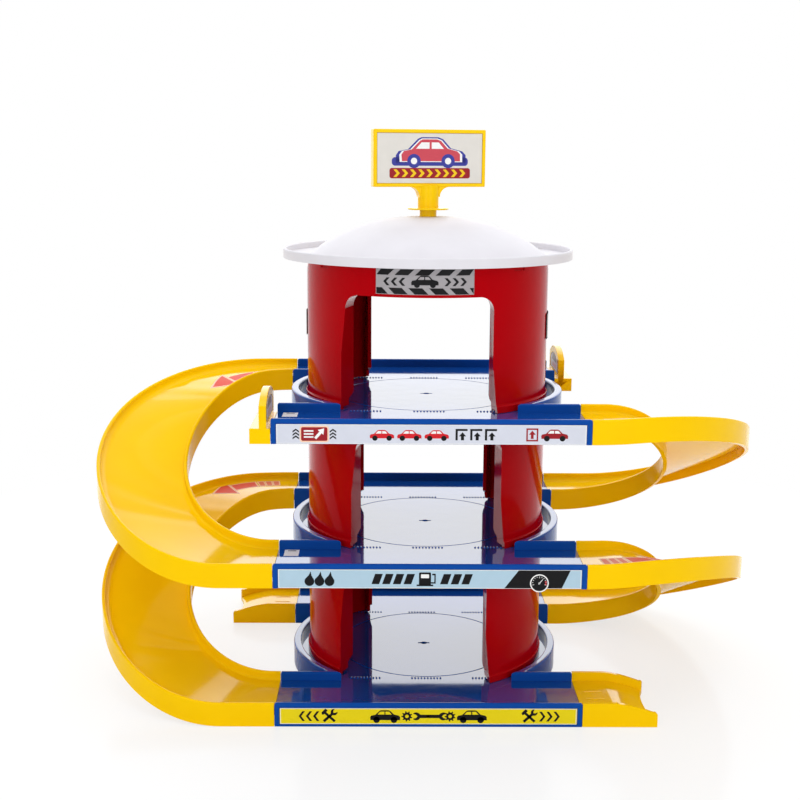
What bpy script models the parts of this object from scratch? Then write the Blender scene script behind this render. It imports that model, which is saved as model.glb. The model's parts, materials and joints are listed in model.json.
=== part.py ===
# Toy parking garage: three decks on open drum storeys, half-turn ramps between them at both
# sides, and a domed lid with a sign that turns.
# X runs along the front, +Y points away from it and Z is up; the origin is on the floor, on the
# axis of the drums. All sizes are in metres.

import math

import bmesh
import bpy
from mathutils import Matrix, Vector

# Clearances
SEAT_GAP = 0.0003      # between pieces that rest on or fit in each other
TURN_GAP = 0.0003      # round the sign's spigot

# Decks
DECK_LENGTH = 0.188
DECK_DEPTH = 0.224
DECK_HEIGHT = 0.0152
DECK_PITCH = 0.0885    # from one deck to the next
STRIP_WIDTH = 0.050    # a road strip, over its two walls
ROAD_DROP = 0.0057     # from the top of the lips to the road
PLATE = 0.0022         # thickness of the road
LIP_WALL = 0.0028
LIP_ROUND = 0.0011
SKIRT_WALL = 0.0026
RIM_WALL = 0.0050
RIM_MARGIN = 0.0048        # between the rim and the foot of the drum inside it
GROOVE_RADIUS = 0.058
GROOVE_WIDTH = 0.0010
KEY_HOLE_RADIUS = 0.0022
KEY_SLOT_LENGTH = 0.0080
KEY_SLOT_WIDTH = 0.0018
TONGUE_WIDTH = 0.038
TONGUE_THICKNESS = 0.0022
TONGUE_REACH = 0.0060

# Printed strips on the front faces of the decks
LABEL_THICKNESS = 0.0005
LABEL_END_MARGIN = 0.0029
LABEL_TOP_MARGIN = 0.0030
BASE_LABEL_FOOT = 0.0014   # blue border under the lowest strip

# Drum storeys
DRUM_RADIUS = 0.079
DRUM_WALL = 0.0024
FOOT_HEIGHT = 0.0050
FOOT_FLANGE = 0.0012
DOOR_HALF_WIDTH = 0.0428   # between the inner edges of the jambs
DOOR_HEIGHT = 0.0725
DOOR_CORNER = 0.009
DOOR_SPLAY_TOP = 0.0025    # how much further out each jamb is at the drum's face, at its top
DOOR_SPLAY_FOOT = 0.0057   # and at its foot
JAMB_WALL = 0.0022
JAMB_DEPTH = 0.014
JAMB_LIFT = 0.0013
JAMB_FOOT_CUT = 0.0060     # how far a jamb is cut back at its foot
JAMB_FOOT_HEIGHT = 0.0055
JAMB_FOOT_SLOPE = 0.0030   # height of the slant above the cut
LOWER_STOREY_TURN = math.radians(-7)   # each drum stands turned a little in its rim
MIDDLE_STOREY_TURN = 0.0
UPPER_STOREY_TURN = math.radians(-6)
UPPER_STOREY_RISE = 0.0052  # the storey under the lid is this much taller
NOTCH_WIDTH = 0.010
NOTCH_HEIGHT = 0.0036
NOTCH_DEPTH = 0.0010
NOTCH_ANGLE = math.radians(40)  # of the notches, from the X axis

# Ramps
RAMP_WALL = 0.0024
RAMP_OUTER_REACH = 0.1062  # how far the outer wall swings out past its own ends
RAMP_INNER_REACH = 0.0640
RAMP_OUTER_LEAD = 0.0325   # straight stretch of the outer wall before the lower deck
RAMP_INNER_LEAD = 0.0040
RAMP_LEVEL_END = 0.075     # share of the half turn that is level after the upper deck
RAMP_BANK = 0.0140         # how much higher the outer wall runs halfway round
RAMP_STEPS = 24

# Run-off wedges on the floor
WEDGE_LENGTH = 0.046
WEDGE_TIP_WALL = 0.0085
WEDGE_TIP_FLOOR = 0.0010
WEDGE_TIP_HOLLOW = 0.0045  # how far the middle of the tip is drawn back
WEDGE_CAVITY = 0.028

# End stops of the top deck
STOP_LENGTH = 0.0122
STOP_HEIGHT = 0.0092
STOP_PANEL_SETBACK = 0.0022
STOP_PANEL = 0.0044
STOP_SHOULDER = 0.0223
STOP_ARCH = 0.0070
STOP_FRAME = 0.0050
CARD_THICKNESS = 0.0006
CARD_SINK = 0.0003         # of a card's face below the frame round it

# Lid
LID_OVERHANG = 0.0155      # past the drum
LID_RIM_HEIGHT = 0.0062
LID_RIM_WALL = 0.0020
LID_PLATE = 0.0020
DOME_SETBACK = 0.0020      # of the dome's foot, inside the drum's face
DOME_RISE = 0.0242
DOME_WALL = 0.0020
LID_COLLAR_WALL = 0.0018
LID_COLLAR_DEPTH = 0.0060
CUP_DEPTH = 0.0110
CUP_WALL = 0.0020

# Sign
SIGN_TURN = math.radians(14)
SIGN_WIDTH = 0.075
SIGN_HEIGHT = 0.0365
SIGN_THICKNESS = 0.0080
SIGN_FRAME = 0.0022
SIGN_EDGE_ROUND = 0.0006
SIGN_FOOT_Z = 0.0190       # from the top of the dome to the board
SPIGOT_RADIUS = 0.0056
SPIGOT_SHOW = 0.0044       # spigot seen between the dome and the collar
COLLAR_RADIUS = 0.0134
COLLAR_THICKNESS = 0.0010
NECK_RADIUS = 0.0069
FLARE_RADIUS = 0.0064
FLARE_THICKNESS = 0.0070

# Plates on the upper storey
HAZARD_WIDTH = 0.060
HAZARD_HEIGHT = 0.0155
HAZARD_BELOW_LID = 0.0010
HAZARD_TURN = math.radians(3.2)  # the plate sits a little round from the doorway's middle
SIDE_PLATE_WIDTH = 0.024
SIDE_PLATE_HEIGHT = 0.0165
SIDE_PLATE_Z = 0.0480      # of its middle, over the storey's foot

# Fineness
DRUM_STEPS = 52
POST_STEPS = 24
ARC_STEPS = 14
CROWN_STEPS = 3            # round the top of a thin wall
DOOR_STEPS = 5             # round a doorway's corner
CUT_OVER = 0.0010          # how far a cutter passes the surface it cuts
FLAT_ANGLE = 0.001         # faces that meet at less than this are one flat face

# Sizes that follow
ROAD_Z = DECK_HEIGHT - ROAD_DROP
ROAD_UNDERSIDE = ROAD_Z - PLATE
STRIP_MIDDLE = DECK_DEPTH / 2 - STRIP_WIDTH / 2
RIM_RADIUS = DRUM_RADIUS + FOOT_FLANGE + RIM_MARGIN + RIM_WALL
STOREY_FOOT = ROAD_Z + SEAT_GAP
STOREY_HEIGHT = DECK_PITCH + ROAD_UNDERSIDE - SEAT_GAP - STOREY_FOOT
UPPER_STOREY_HEIGHT = STOREY_HEIGHT + UPPER_STOREY_RISE
LID_RADIUS = DRUM_RADIUS + LID_OVERHANG
DOME_RADIUS = DRUM_RADIUS - DOME_SETBACK
LID_Z = 2 * DECK_PITCH + STOREY_FOOT + UPPER_STOREY_HEIGHT + SEAT_GAP
DOME_TOP_Z = LID_Z + LID_PLATE + DOME_RISE
SIGN_BOARD_Z = DOME_TOP_Z + SIGN_FOOT_Z


def new_collection(name):
    collection = bpy.data.collections.new(name)
    bpy.context.scene.collection.children.link(collection)
    return collection


def linear(channel):
    """One sRGB channel, 0 to 1, as a linear value."""
    if channel <= 0.04045:
        return channel / 12.92
    return ((channel + 0.055) / 1.055) ** 2.4


def plastic(name, hex_colour, roughness):
    """A Principled material of one colour."""
    material = bpy.data.materials.new(name)
    material.use_nodes = True
    shader = material.node_tree.nodes["Principled BSDF"]
    channels = [int(hex_colour[i:i + 2], 16) / 255 for i in (0, 2, 4)]
    colour = [linear(channel) for channel in channels] + [1.0]
    shader.inputs["Base Color"].default_value = colour
    shader.inputs["Roughness"].default_value = roughness
    shader.inputs["Metallic"].default_value = 0.0
    material.diffuse_color = colour
    return material


def evaluated_mesh(obj):
    """The object's mesh with its modifiers applied."""
    bpy.context.view_layer.update()
    depsgraph = bpy.context.evaluated_depsgraph_get()
    return bpy.data.meshes.new_from_object(obj.evaluated_get(depsgraph))


def tidy(mesh, matrix=None):
    """Welds the mesh's seams, joins its flat faces, turns them outward and places the mesh."""
    bm = bmesh.new()
    bm.from_mesh(mesh)
    bmesh.ops.remove_doubles(bm, verts=bm.verts, dist=1e-6)
    bmesh.ops.dissolve_limit(bm, angle_limit=FLAT_ANGLE, verts=bm.verts, edges=bm.edges)
    if matrix is not None:
        bmesh.ops.transform(bm, matrix=matrix, verts=bm.verts)
    bmesh.ops.recalc_face_normals(bm, faces=bm.faces)
    bm.to_mesh(mesh)
    bm.free()


def apply_modifiers(obj):
    mesh = evaluated_mesh(obj)
    tidy(mesh)
    obj.modifiers.clear()
    obj.data = mesh


def scene_object(name, data):
    obj = bpy.data.objects.new(name, data)
    bpy.context.scene.collection.objects.link(obj)
    return obj


def arc(centre, radius, start, end, steps):
    """Points on a circle from one angle to another, both ends included."""
    angles = [start + (end - start) * i / steps for i in range(steps + 1)]
    return [(centre[0] + radius * math.cos(a), centre[1] + radius * math.sin(a)) for a in angles]


def join_caps(mesh):
    """Makes one face of each end of an extruded outline."""
    bm = bmesh.new()
    bm.from_mesh(mesh)
    bmesh.ops.remove_doubles(bm, verts=bm.verts, dist=1e-6)
    for side in (-1, 1):
        cap = [face for face in bm.faces if min(side * vert.co.z for vert in face.verts) > 0]
        bmesh.ops.dissolve_faces(bm, faces=cap)
    bm.to_mesh(mesh)
    bm.free()


def slab(name, outline, low, high, upright=None):
    """A flat outline extruded from low to high along Z, or along the axis named in upright."""
    curve = bpy.data.curves.new(name, "CURVE")
    curve.dimensions = "2D"
    curve.fill_mode = "BOTH"
    curve.extrude = (high - low) / 2
    spline = curve.splines.new("POLY")
    spline.points.add(len(outline) - 1)
    for point, (x, y) in zip(spline.points, outline):
        point.co = (x, y, 0.0, 1.0)
    spline.use_cyclic_u = True
    drawing = scene_object(name, curve)
    mesh = evaluated_mesh(drawing)
    join_caps(mesh)
    place = Matrix.Translation((0, 0, (low + high) / 2))
    if upright == "Y":
        # the outline's first axis stays X and its second becomes Z
        place = Matrix.Rotation(math.pi / 2, 4, "X") @ Matrix.Translation((0, 0, -(low + high) / 2))
    if upright == "X":
        # the outline's first axis becomes Y and its second Z
        turn = Matrix.Rotation(math.pi / 2, 4, "Z") @ Matrix.Rotation(math.pi / 2, 4, "X")
        place = turn @ Matrix.Translation((0, 0, (low + high) / 2))
    tidy(mesh, place)
    bpy.data.objects.remove(drawing)
    return scene_object(name, mesh)


def box(name, low, high):
    """A block between two corners."""
    size = [b - a for a, b in zip(low, high)]
    middle = [(a + b) / 2 for a, b in zip(low, high)]
    bm = bmesh.new()
    matrix = Matrix.Translation(middle) @ Matrix.Diagonal((*size, 1.0))
    bmesh.ops.create_cube(bm, size=1.0, matrix=matrix)
    mesh = bpy.data.meshes.new(name)
    bm.to_mesh(mesh)
    bm.free()
    return scene_object(name, mesh)


def turned(name, profile, closed=True, steps=DRUM_STEPS):
    """A profile of (radius, height) turned about Z, running down its outer side."""
    edges = [(i, i + 1) for i in range(len(profile) - 1)]
    if closed:
        edges.append((len(profile) - 1, 0))
    mesh = bpy.data.meshes.new(name)
    mesh.from_pydata([(radius, 0.0, z) for radius, z in profile], edges, [])
    obj = scene_object(name, mesh)
    screw = obj.modifiers.new("Turn", "SCREW")
    screw.steps = steps
    screw.render_steps = steps
    screw.use_merge_vertices = True
    screw.merge_threshold = 1e-5
    apply_modifiers(obj)
    return obj


def boolean(target, operation, *tools):
    """Joins the tools to the target, or cuts them from it, and removes them."""
    for tool in tools:
        modifier = target.modifiers.new(operation.title(), "BOOLEAN")
        modifier.solver = "EXACT"
        modifier.operation = operation
        modifier.object = tool
    apply_modifiers(target)
    for tool in tools:
        bpy.data.objects.remove(tool)


def round_edges(obj, wanted, radius, segments=2):
    """Rounds the edges that the test function picks by their two ends."""
    bm = bmesh.new()
    bm.from_mesh(obj.data)
    sharp = [edge for edge in bm.edges if edge.is_manifold and edge.calc_face_angle() > 0.5]
    picked = [edge for edge in sharp if wanted(edge.verts[0].co, edge.verts[1].co)]
    bmesh.ops.bevel(
        bm, geom=picked, offset=radius, segments=segments, profile=0.5, affect="EDGES",
        clamp_overlap=True,
    )
    bm.to_mesh(obj.data)
    bm.free()


def finish(obj, material, collection, turn=0.0, lift=0.0):
    """Moves a finished piece to the parts' collection and gives it its material and place."""
    obj.data.materials.clear()
    obj.data.materials.append(material)
    obj.data.shade_smooth()
    obj.data.set_sharp_from_angle(angle=math.radians(35))
    obj.rotation_euler.z = turn
    obj.location.z = lift
    bpy.context.scene.collection.objects.unlink(obj)
    collection.objects.link(obj)
    return obj


def copy_piece(source, name, collection, turn=0.0, lift=0.0):
    """Another piece from the same mould."""
    obj = bpy.data.objects.new(name, source.data)
    obj.rotation_euler.z = turn
    obj.location.z = lift
    collection.objects.link(obj)
    return obj


# Decks

def strips_and_disc(half_length, outer, inner, radius):
    """Plan of two road strips and the disc between them, anticlockwise."""
    reach = math.asin(inner / radius)
    half = [(half_length, -outer), (half_length, -inner)]
    half += arc((0, 0), radius, -reach, reach, ARC_STEPS)
    half += [(half_length, inner), (half_length, outer)]
    return half + [(-x, -y) for x, y in half]


def deck_plan(inset):
    """Outline of a deck, drawn in by the inset."""
    inner = DECK_DEPTH / 2 - STRIP_WIDTH + inset
    return strips_and_disc(
        DECK_LENGTH / 2 - inset, DECK_DEPTH / 2 - inset, inner, RIM_RADIUS - inset
    )


def road_plan():
    """The road, open at the strips' ends and inside the lips and the round rim."""
    inner = DECK_DEPTH / 2 - STRIP_WIDTH + LIP_WALL
    outer = DECK_DEPTH / 2 - LIP_WALL
    return strips_and_disc(DECK_LENGTH / 2 + CUT_OVER, outer, inner, RIM_RADIUS - RIM_WALL)


def tongue(side_x, side_y):
    """Tongue at a strip's end, which carries the piece that joins there."""
    wall_middle = DECK_LENGTH / 2 - SKIRT_WALL / 2
    ends = sorted((side_x * wall_middle, side_x * (DECK_LENGTH / 2 + TONGUE_REACH)))
    middle = side_y * STRIP_MIDDLE
    top = ROAD_UNDERSIDE - SEAT_GAP
    low = (ends[0], middle - TONGUE_WIDTH / 2, top - TONGUE_THICKNESS)
    high = (ends[1], middle + TONGUE_WIDTH / 2, top)
    return box("tongue", low, high)


def label_recess(side_y, foot):
    """Shallow recess for a printed strip, in the front or back face."""
    depth = LABEL_THICKNESS + SEAT_GAP
    face = side_y * DECK_DEPTH / 2
    ends = sorted((face - side_y * depth, face + side_y * CUT_OVER))
    half = DECK_LENGTH / 2 - LABEL_END_MARGIN
    return box("recess", (-half, ends[0], foot), (half, ends[1], DECK_HEIGHT - LABEL_TOP_MARGIN))


def deck_mould(name, label_foot):
    """One deck: walls with rounded tops round the road, hollow below it."""
    deck = slab(name, deck_plan(0.0), 0.0, DECK_HEIGHT)
    boolean(deck, "DIFFERENCE", slab("road", road_plan(), ROAD_Z, DECK_HEIGHT + CUT_OVER))

    def on_top(a, b):
        return min(a.z, b.z) > DECK_HEIGHT - 1e-5

    round_edges(deck, on_top, LIP_ROUND)
    underside = slab("underside", deck_plan(SKIRT_WALL), -CUT_OVER, ROAD_UNDERSIDE)
    boolean(deck, "DIFFERENCE", underside)
    tongues = [tongue(side_x, side_y) for side_x in (-1, 1) for side_y in (-1, 1)]
    boolean(deck, "UNION", *tongues)

    half_groove = GROOVE_WIDTH / 2
    groove = turned("groove", [
        (GROOVE_RADIUS + half_groove, ROAD_Z + half_groove),
        (GROOVE_RADIUS + half_groove, ROAD_Z),
        (GROOVE_RADIUS, ROAD_Z - half_groove),
        (GROOVE_RADIUS - half_groove, ROAD_Z),
        (GROOVE_RADIUS - half_groove, ROAD_Z + half_groove),
    ])
    half_length = KEY_SLOT_LENGTH / 2
    half_width = KEY_SLOT_WIDTH / 2
    bottom = ROAD_UNDERSIDE - CUT_OVER
    top = ROAD_Z + CUT_OVER
    hole = slab("hole", arc((0, 0), KEY_HOLE_RADIUS, 0, 2 * math.pi, 24)[:-1], bottom, top)
    slot = box("slot", (-half_length, -half_width, bottom), (half_length, half_width, top))
    boolean(hole, "UNION", slot)
    recesses = [label_recess(side_y, label_foot) for side_y in (-1, 1)]
    boolean(deck, "DIFFERENCE", groove, hole, *recesses)
    return deck


def front_label(name, foot):
    """Printed strip in a deck's front recess."""
    half = DECK_LENGTH / 2 - LABEL_END_MARGIN - SEAT_GAP
    front = -DECK_DEPTH / 2
    low = (-half, front, foot + SEAT_GAP)
    high = (half, front + LABEL_THICKNESS, DECK_HEIGHT - LABEL_TOP_MARGIN - SEAT_GAP)
    return box(name, low, high)


# Storeys

def door_outline(foot, head, height, corner):
    """Outline of a doorway that is wider at its foot: (across, up)."""
    spring = height - corner
    outline = [(-foot, -CUT_OVER), (foot, -CUT_OVER)]
    outline += arc((head - corner, spring), corner, 0, math.pi / 2, DOOR_STEPS)
    return outline + arc((corner - head, spring), corner, math.pi / 2, math.pi, DOOR_STEPS)


def passage(name, margin):
    """The arched way through both sides of a drum, splayed outside the jambs' inner edges."""
    half = DOOR_HALF_WIDTH + margin
    height = DOOR_HEIGHT + margin
    corner = DOOR_CORNER + margin
    inner_radius = DRUM_RADIUS - DRUM_WALL / 2 - JAMB_DEPTH
    inner = math.sqrt(inner_radius ** 2 - DOOR_HALF_WIDTH ** 2)
    face = math.sqrt(DRUM_RADIUS ** 2 - (DOOR_HALF_WIDTH + DOOR_SPLAY_FOOT) ** 2)
    outer = DRUM_RADIUS + FOOT_FLANGE + CUT_OVER
    growth = (outer - inner) / (face - inner)
    straight = door_outline(half, half, height, corner)
    splayed = door_outline(
        half + growth * DOOR_SPLAY_FOOT, half + growth * DOOR_SPLAY_TOP, height, corner
    )
    stations = ((-outer, splayed), (-inner, straight), (inner, straight), (outer, splayed))
    bm = bmesh.new()
    rings = []
    for y, outline in stations:
        ring = [bm.verts.new((x, y, z)) for x, z in outline]
        rings.append([bm.edges.new((ring[i - 1], ring[i])) for i in range(len(ring))])
        if abs(y) == outer:
            bm.faces.new(ring)
    for first, second in zip(rings, rings[1:]):
        bmesh.ops.bridge_loops(bm, edges=first + second)
    mesh = bpy.data.meshes.new(name)
    bm.to_mesh(mesh)
    bm.free()
    tidy(mesh)
    return scene_object(name, mesh)


def door_linings():
    """Plates that line both doorways, cut back at their feet."""
    outer = DRUM_RADIUS - DRUM_WALL / 2
    inner = outer - JAMB_DEPTH
    head = DOOR_HEIGHT + JAMB_WALL
    linings = turned(
        "linings", [(outer, head), (outer, JAMB_LIFT), (inner, JAMB_LIFT), (inner, head)]
    )
    boolean(linings, "INTERSECT", passage("lined", JAMB_WALL))
    cut = inner + JAMB_FOOT_CUT
    slant_top = JAMB_FOOT_HEIGHT + JAMB_FOOT_SLOPE
    foot_cut = turned("foot_cut", [
        (cut, JAMB_FOOT_HEIGHT), (cut, -CUT_OVER), (inner - CUT_OVER, -CUT_OVER),
        (inner - CUT_OVER, slant_top), (inner, slant_top),
    ])
    boolean(linings, "DIFFERENCE", foot_cut)
    return linings


def notch(angle, height):
    """Blind notch in the outside of a drum's top edge."""
    low = (DRUM_RADIUS - NOTCH_DEPTH, -NOTCH_WIDTH / 2, height - NOTCH_HEIGHT)
    high = (DRUM_RADIUS + CUT_OVER, NOTCH_WIDTH / 2, height + CUT_OVER)
    cutter = box("notch", low, high)
    cutter.data.transform(Matrix.Rotation(angle, 4, "Z"))
    return cutter


def storey(name, height):
    """Open drum with a doorway at the front and the back, its foot at height 0."""
    inner = DRUM_RADIUS - DRUM_WALL
    flange = DRUM_RADIUS + FOOT_FLANGE
    drum = turned(name, [
        (DRUM_RADIUS, height),
        (DRUM_RADIUS, FOOT_HEIGHT + FOOT_FLANGE / 2),
        (flange, FOOT_HEIGHT - FOOT_FLANGE / 2),
        (flange, 0.0),
        (inner, 0.0),
        (inner, height),
    ])
    boolean(drum, "UNION", door_linings())
    angles = (NOTCH_ANGLE, math.pi - NOTCH_ANGLE, math.pi + NOTCH_ANGLE, -NOTCH_ANGLE)
    notches = [notch(angle, height) for angle in angles]
    boolean(drum, "DIFFERENCE", passage("door", 0.0), *notches)
    return drum


def curved_plate(name, middle, width, low, high):
    """Thin plate on the outside of a drum, round an angle."""
    inner = DRUM_RADIUS + SEAT_GAP
    outer = inner + LABEL_THICKNESS
    reach = width / 2 / DRUM_RADIUS
    outline = arc((0, 0), outer, middle - reach, middle + reach, ARC_STEPS)
    outline += arc((0, 0), inner, middle + reach, middle - reach, ARC_STEPS)
    return slab(name, outline, low, high)


# Ramps

def wall_tops(turn):
    """Heights of the inner and the outer wall's top after a share of the half turn."""
    run = max(turn - RAMP_LEVEL_END, 0.0) / (1.0 - RAMP_LEVEL_END)
    descended = run * run * (3.0 - 2.0 * run)
    middle = DECK_HEIGHT + DECK_PITCH * (1.0 - descended)
    bank = RAMP_BANK / 2 * math.sin(math.pi * turn) ** 2
    return middle - bank, middle + bank


def channel_section(width):
    """Section of a ramp, from the inner wall's outside: (across, up from the wall tops)."""
    wall = RAMP_WALL
    crown = arc((wall / 2, -wall / 2), wall / 2, math.pi, 0, CROWN_STEPS)
    section = [(0.0, -DECK_HEIGHT)]
    section += crown
    section += [(wall, -ROAD_DROP), (width - wall, -ROAD_DROP)]
    section += [(across + width - wall, up) for across, up in crown]
    section += [(width, -DECK_HEIGHT), (width - wall, -DECK_HEIGHT)]
    section += [(width - wall, -ROAD_DROP - PLATE), (wall, -ROAD_DROP - PLATE)]
    return section + [(wall, -DECK_HEIGHT)]


def ramp_stations():
    """Points on the tops of the inner and the outer wall, from the upper deck to the lower."""
    end = -DECK_LENGTH / 2 - SEAT_GAP
    outer = DECK_DEPTH / 2
    inner = outer - STRIP_WIDTH
    stations = []
    for step in range(RAMP_STEPS + 1):
        turn = step / RAMP_STEPS
        swing, side = math.sin(math.pi * turn), math.cos(math.pi * turn)
        inner_top, outer_top = wall_tops(turn)
        inside = (end - RAMP_INNER_LEAD * turn - RAMP_INNER_REACH * swing, inner * side)
        outside = (end - RAMP_OUTER_LEAD * turn - RAMP_OUTER_REACH * swing, outer * side)
        stations.append((Vector((*inside, inner_top)), Vector((*outside, outer_top))))
    last = (Vector((end, -inner, DECK_HEIGHT)), Vector((end, -outer, DECK_HEIGHT)))
    return stations + [last]


def ramp(name):
    """Half-turn channel lofted from the upper deck's back strip to the lower deck's front one."""
    bm = bmesh.new()
    loops = []
    for inside, outside in ramp_stations():
        width = (outside - inside).xy.length
        ring = []
        for across, up in channel_section(width):
            top = inside.lerp(outside, across / width)
            ring.append(bm.verts.new((top.x, top.y, top.z + up)))
        edges = [bm.edges.new((ring[i - 1], ring[i])) for i in range(len(ring))]
        loops.append((ring, edges))
    for (_, first), (_, second) in zip(loops, loops[1:]):
        bmesh.ops.bridge_loops(bm, edges=first + second)
    bm.faces.new(loops[0][0])
    bm.faces.new(loops[-1][0])
    mesh = bpy.data.meshes.new(name)
    bm.to_mesh(mesh)
    bm.free()
    tidy(mesh)
    return scene_object(name, mesh)


# Wedges and end stops, modelled at the back left and the front left

def wedge(name):
    """Short run-off to the floor, hollow below, with a hollowed tip."""
    start = DECK_LENGTH / 2 + SEAT_GAP
    tip = start + WEDGE_LENGTH
    inner = DECK_DEPTH / 2 - STRIP_WIDTH
    outer = DECK_DEPTH / 2
    side = [(start, 0.0), (tip, 0.0), (tip, WEDGE_TIP_WALL), (start, DECK_HEIGHT)]
    body = slab(name, [(-x, z) for x, z in side], inner, outer, upright="Y")
    bend = start + TONGUE_REACH + SEAT_GAP
    slope = (ROAD_Z - WEDGE_TIP_FLOOR) / (tip - bend)
    above = DECK_HEIGHT + CUT_OVER
    before = start - CUT_OVER
    after = tip + CUT_OVER
    trough = [
        (before, ROAD_Z), (bend, ROAD_Z), (after, WEDGE_TIP_FLOOR - slope * CUT_OVER),
        (after, above), (before, above),
    ]
    cavity_end = start + WEDGE_CAVITY
    cavity = [
        (before, -CUT_OVER), (cavity_end, -CUT_OVER),
        (cavity_end, ROAD_UNDERSIDE - slope * (cavity_end - bend)),
        (bend, ROAD_UNDERSIDE), (before, ROAD_UNDERSIDE),
    ]
    low, high = inner + RAMP_WALL, outer - RAMP_WALL
    cutters = [
        slab("trough", [(-x, z) for x, z in trough], low, high, upright="Y"),
        slab("cavity", [(-x, z) for x, z in cavity], low, high, upright="Y"),
    ]
    half = STRIP_WIDTH / 2
    radius = (half ** 2 + WEDGE_TIP_HOLLOW ** 2) / (2 * WEDGE_TIP_HOLLOW)
    centre = (-tip + WEDGE_TIP_HOLLOW - radius, STRIP_MIDDLE)
    bite = arc(centre, radius, 0, 2 * math.pi, 4 * DRUM_STEPS)[:-1]
    cutters.append(slab("bite", bite, -CUT_OVER, DECK_HEIGHT + CUT_OVER))
    boolean(body, "DIFFERENCE", *cutters)
    return body


def panel_outline(inset, foot):
    """Arched panel seen from the road: (across the strip, up)."""
    half = STRIP_WIDTH / 2
    radius = (half ** 2 + STOP_ARCH ** 2) / (2 * STOP_ARCH)
    centre = STOP_SHOULDER + STOP_ARCH - radius
    half -= inset
    radius -= inset
    reach = math.asin(half / radius)
    outline = [(-half, foot), (half, foot)]
    return outline + arc((0, centre), radius, math.pi / 2 - reach, math.pi / 2 + reach, 12)


def end_stop(name):
    """Block on the deck's tongue with an arched panel that has a recess for its card."""
    start = DECK_LENGTH / 2 + SEAT_GAP
    inner = DECK_DEPTH / 2 - STRIP_WIDTH
    outer = DECK_DEPTH / 2
    block = box(name, (-start - STOP_LENGTH, -outer, 0.0), (-start, -inner, STOP_HEIGHT))
    face = start + STOP_PANEL_SETBACK
    panel = slab(
        "panel", panel_outline(0.0, STOP_HEIGHT / 2), -face - STOP_PANEL, -face, upright="X"
    )
    panel.data.transform(Matrix.Translation((0, -STRIP_MIDDLE, 0)))
    boolean(block, "UNION", panel)
    recess_depth = CARD_THICKNESS + CARD_SINK + SEAT_GAP
    recess = slab(
        "recess", panel_outline(STOP_FRAME, STOP_HEIGHT + STOP_FRAME / 2),
        -face - recess_depth, -face + CUT_OVER, upright="X",
    )
    recess.data.transform(Matrix.Translation((0, -STRIP_MIDDLE, 0)))
    socket_end = start + TONGUE_REACH + RAMP_WALL / 2
    socket = box(
        "socket", (-socket_end, -outer + RAMP_WALL, -CUT_OVER),
        (-start + CUT_OVER, -inner - RAMP_WALL, ROAD_UNDERSIDE),
    )
    boolean(block, "DIFFERENCE", recess, socket)
    return block


def stop_card(name):
    """Printed card in the end stop's recess."""
    face = DECK_LENGTH / 2 + SEAT_GAP + STOP_PANEL_SETBACK + CARD_SINK
    foot = STOP_HEIGHT + STOP_FRAME / 2 + SEAT_GAP
    outline = panel_outline(STOP_FRAME + SEAT_GAP, foot)
    card = slab(name, outline, -face - CARD_THICKNESS, -face, upright="X")
    card.data.transform(Matrix.Translation((0, -STRIP_MIDDLE, 0)))
    return card


# Lid

def dome_arc(drop, inner_radius, steps):
    """Points down the dome from a radius to its foot, on the surface lowered by the drop."""
    sphere = (DOME_RADIUS ** 2 + DOME_RISE ** 2) / (2 * DOME_RISE)
    centre = DOME_TOP_Z - sphere
    radius = sphere - drop
    start = math.acos(inner_radius / radius)
    foot_radius = math.sqrt(radius ** 2 - (LID_Z + LID_PLATE - drop - centre) ** 2)
    end = math.acos(foot_radius / radius)
    return arc((0.0, centre), radius, start, end, steps)


def lid(name):
    """Domed lid with a raised rim, a collar inside the drum and a cup for the sign."""
    top = LID_Z + LID_RIM_HEIGHT
    plate_top = LID_Z + LID_PLATE
    rim_inner = LID_RADIUS - LID_RIM_WALL
    half_rim = LID_RIM_WALL / 2
    crown = arc((LID_RADIUS - half_rim, top - half_rim), half_rim, math.pi, 0, CROWN_STEPS)
    bore = SPIGOT_RADIUS + TURN_GAP
    cup_outer = bore + CUP_WALL
    cup_floor = DOME_TOP_Z - CUP_DEPTH
    collar_outer = DRUM_RADIUS - DRUM_WALL - SEAT_GAP
    collar_inner = collar_outer - LID_COLLAR_WALL
    collar_foot = LID_Z - LID_COLLAR_DEPTH
    under = dome_arc(DOME_WALL, cup_outer, 5)
    profile = [(0.0, cup_floor), (bore, cup_floor)]
    profile += dome_arc(0.0, bore, 8)
    profile += [(rim_inner, plate_top)]
    profile += crown
    profile += [(LID_RADIUS, LID_Z), (collar_outer, LID_Z), (collar_outer, collar_foot)]
    profile += [(collar_inner, collar_foot), (collar_inner, under[-1][1])]
    profile += [point for point in reversed(under) if point[0] < collar_inner]
    profile += [(cup_outer, cup_floor - CUP_WALL), (0.0, cup_floor - CUP_WALL)]
    return turned(name, profile, closed=False)


# Sign, modelled facing -Y on the axis

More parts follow.
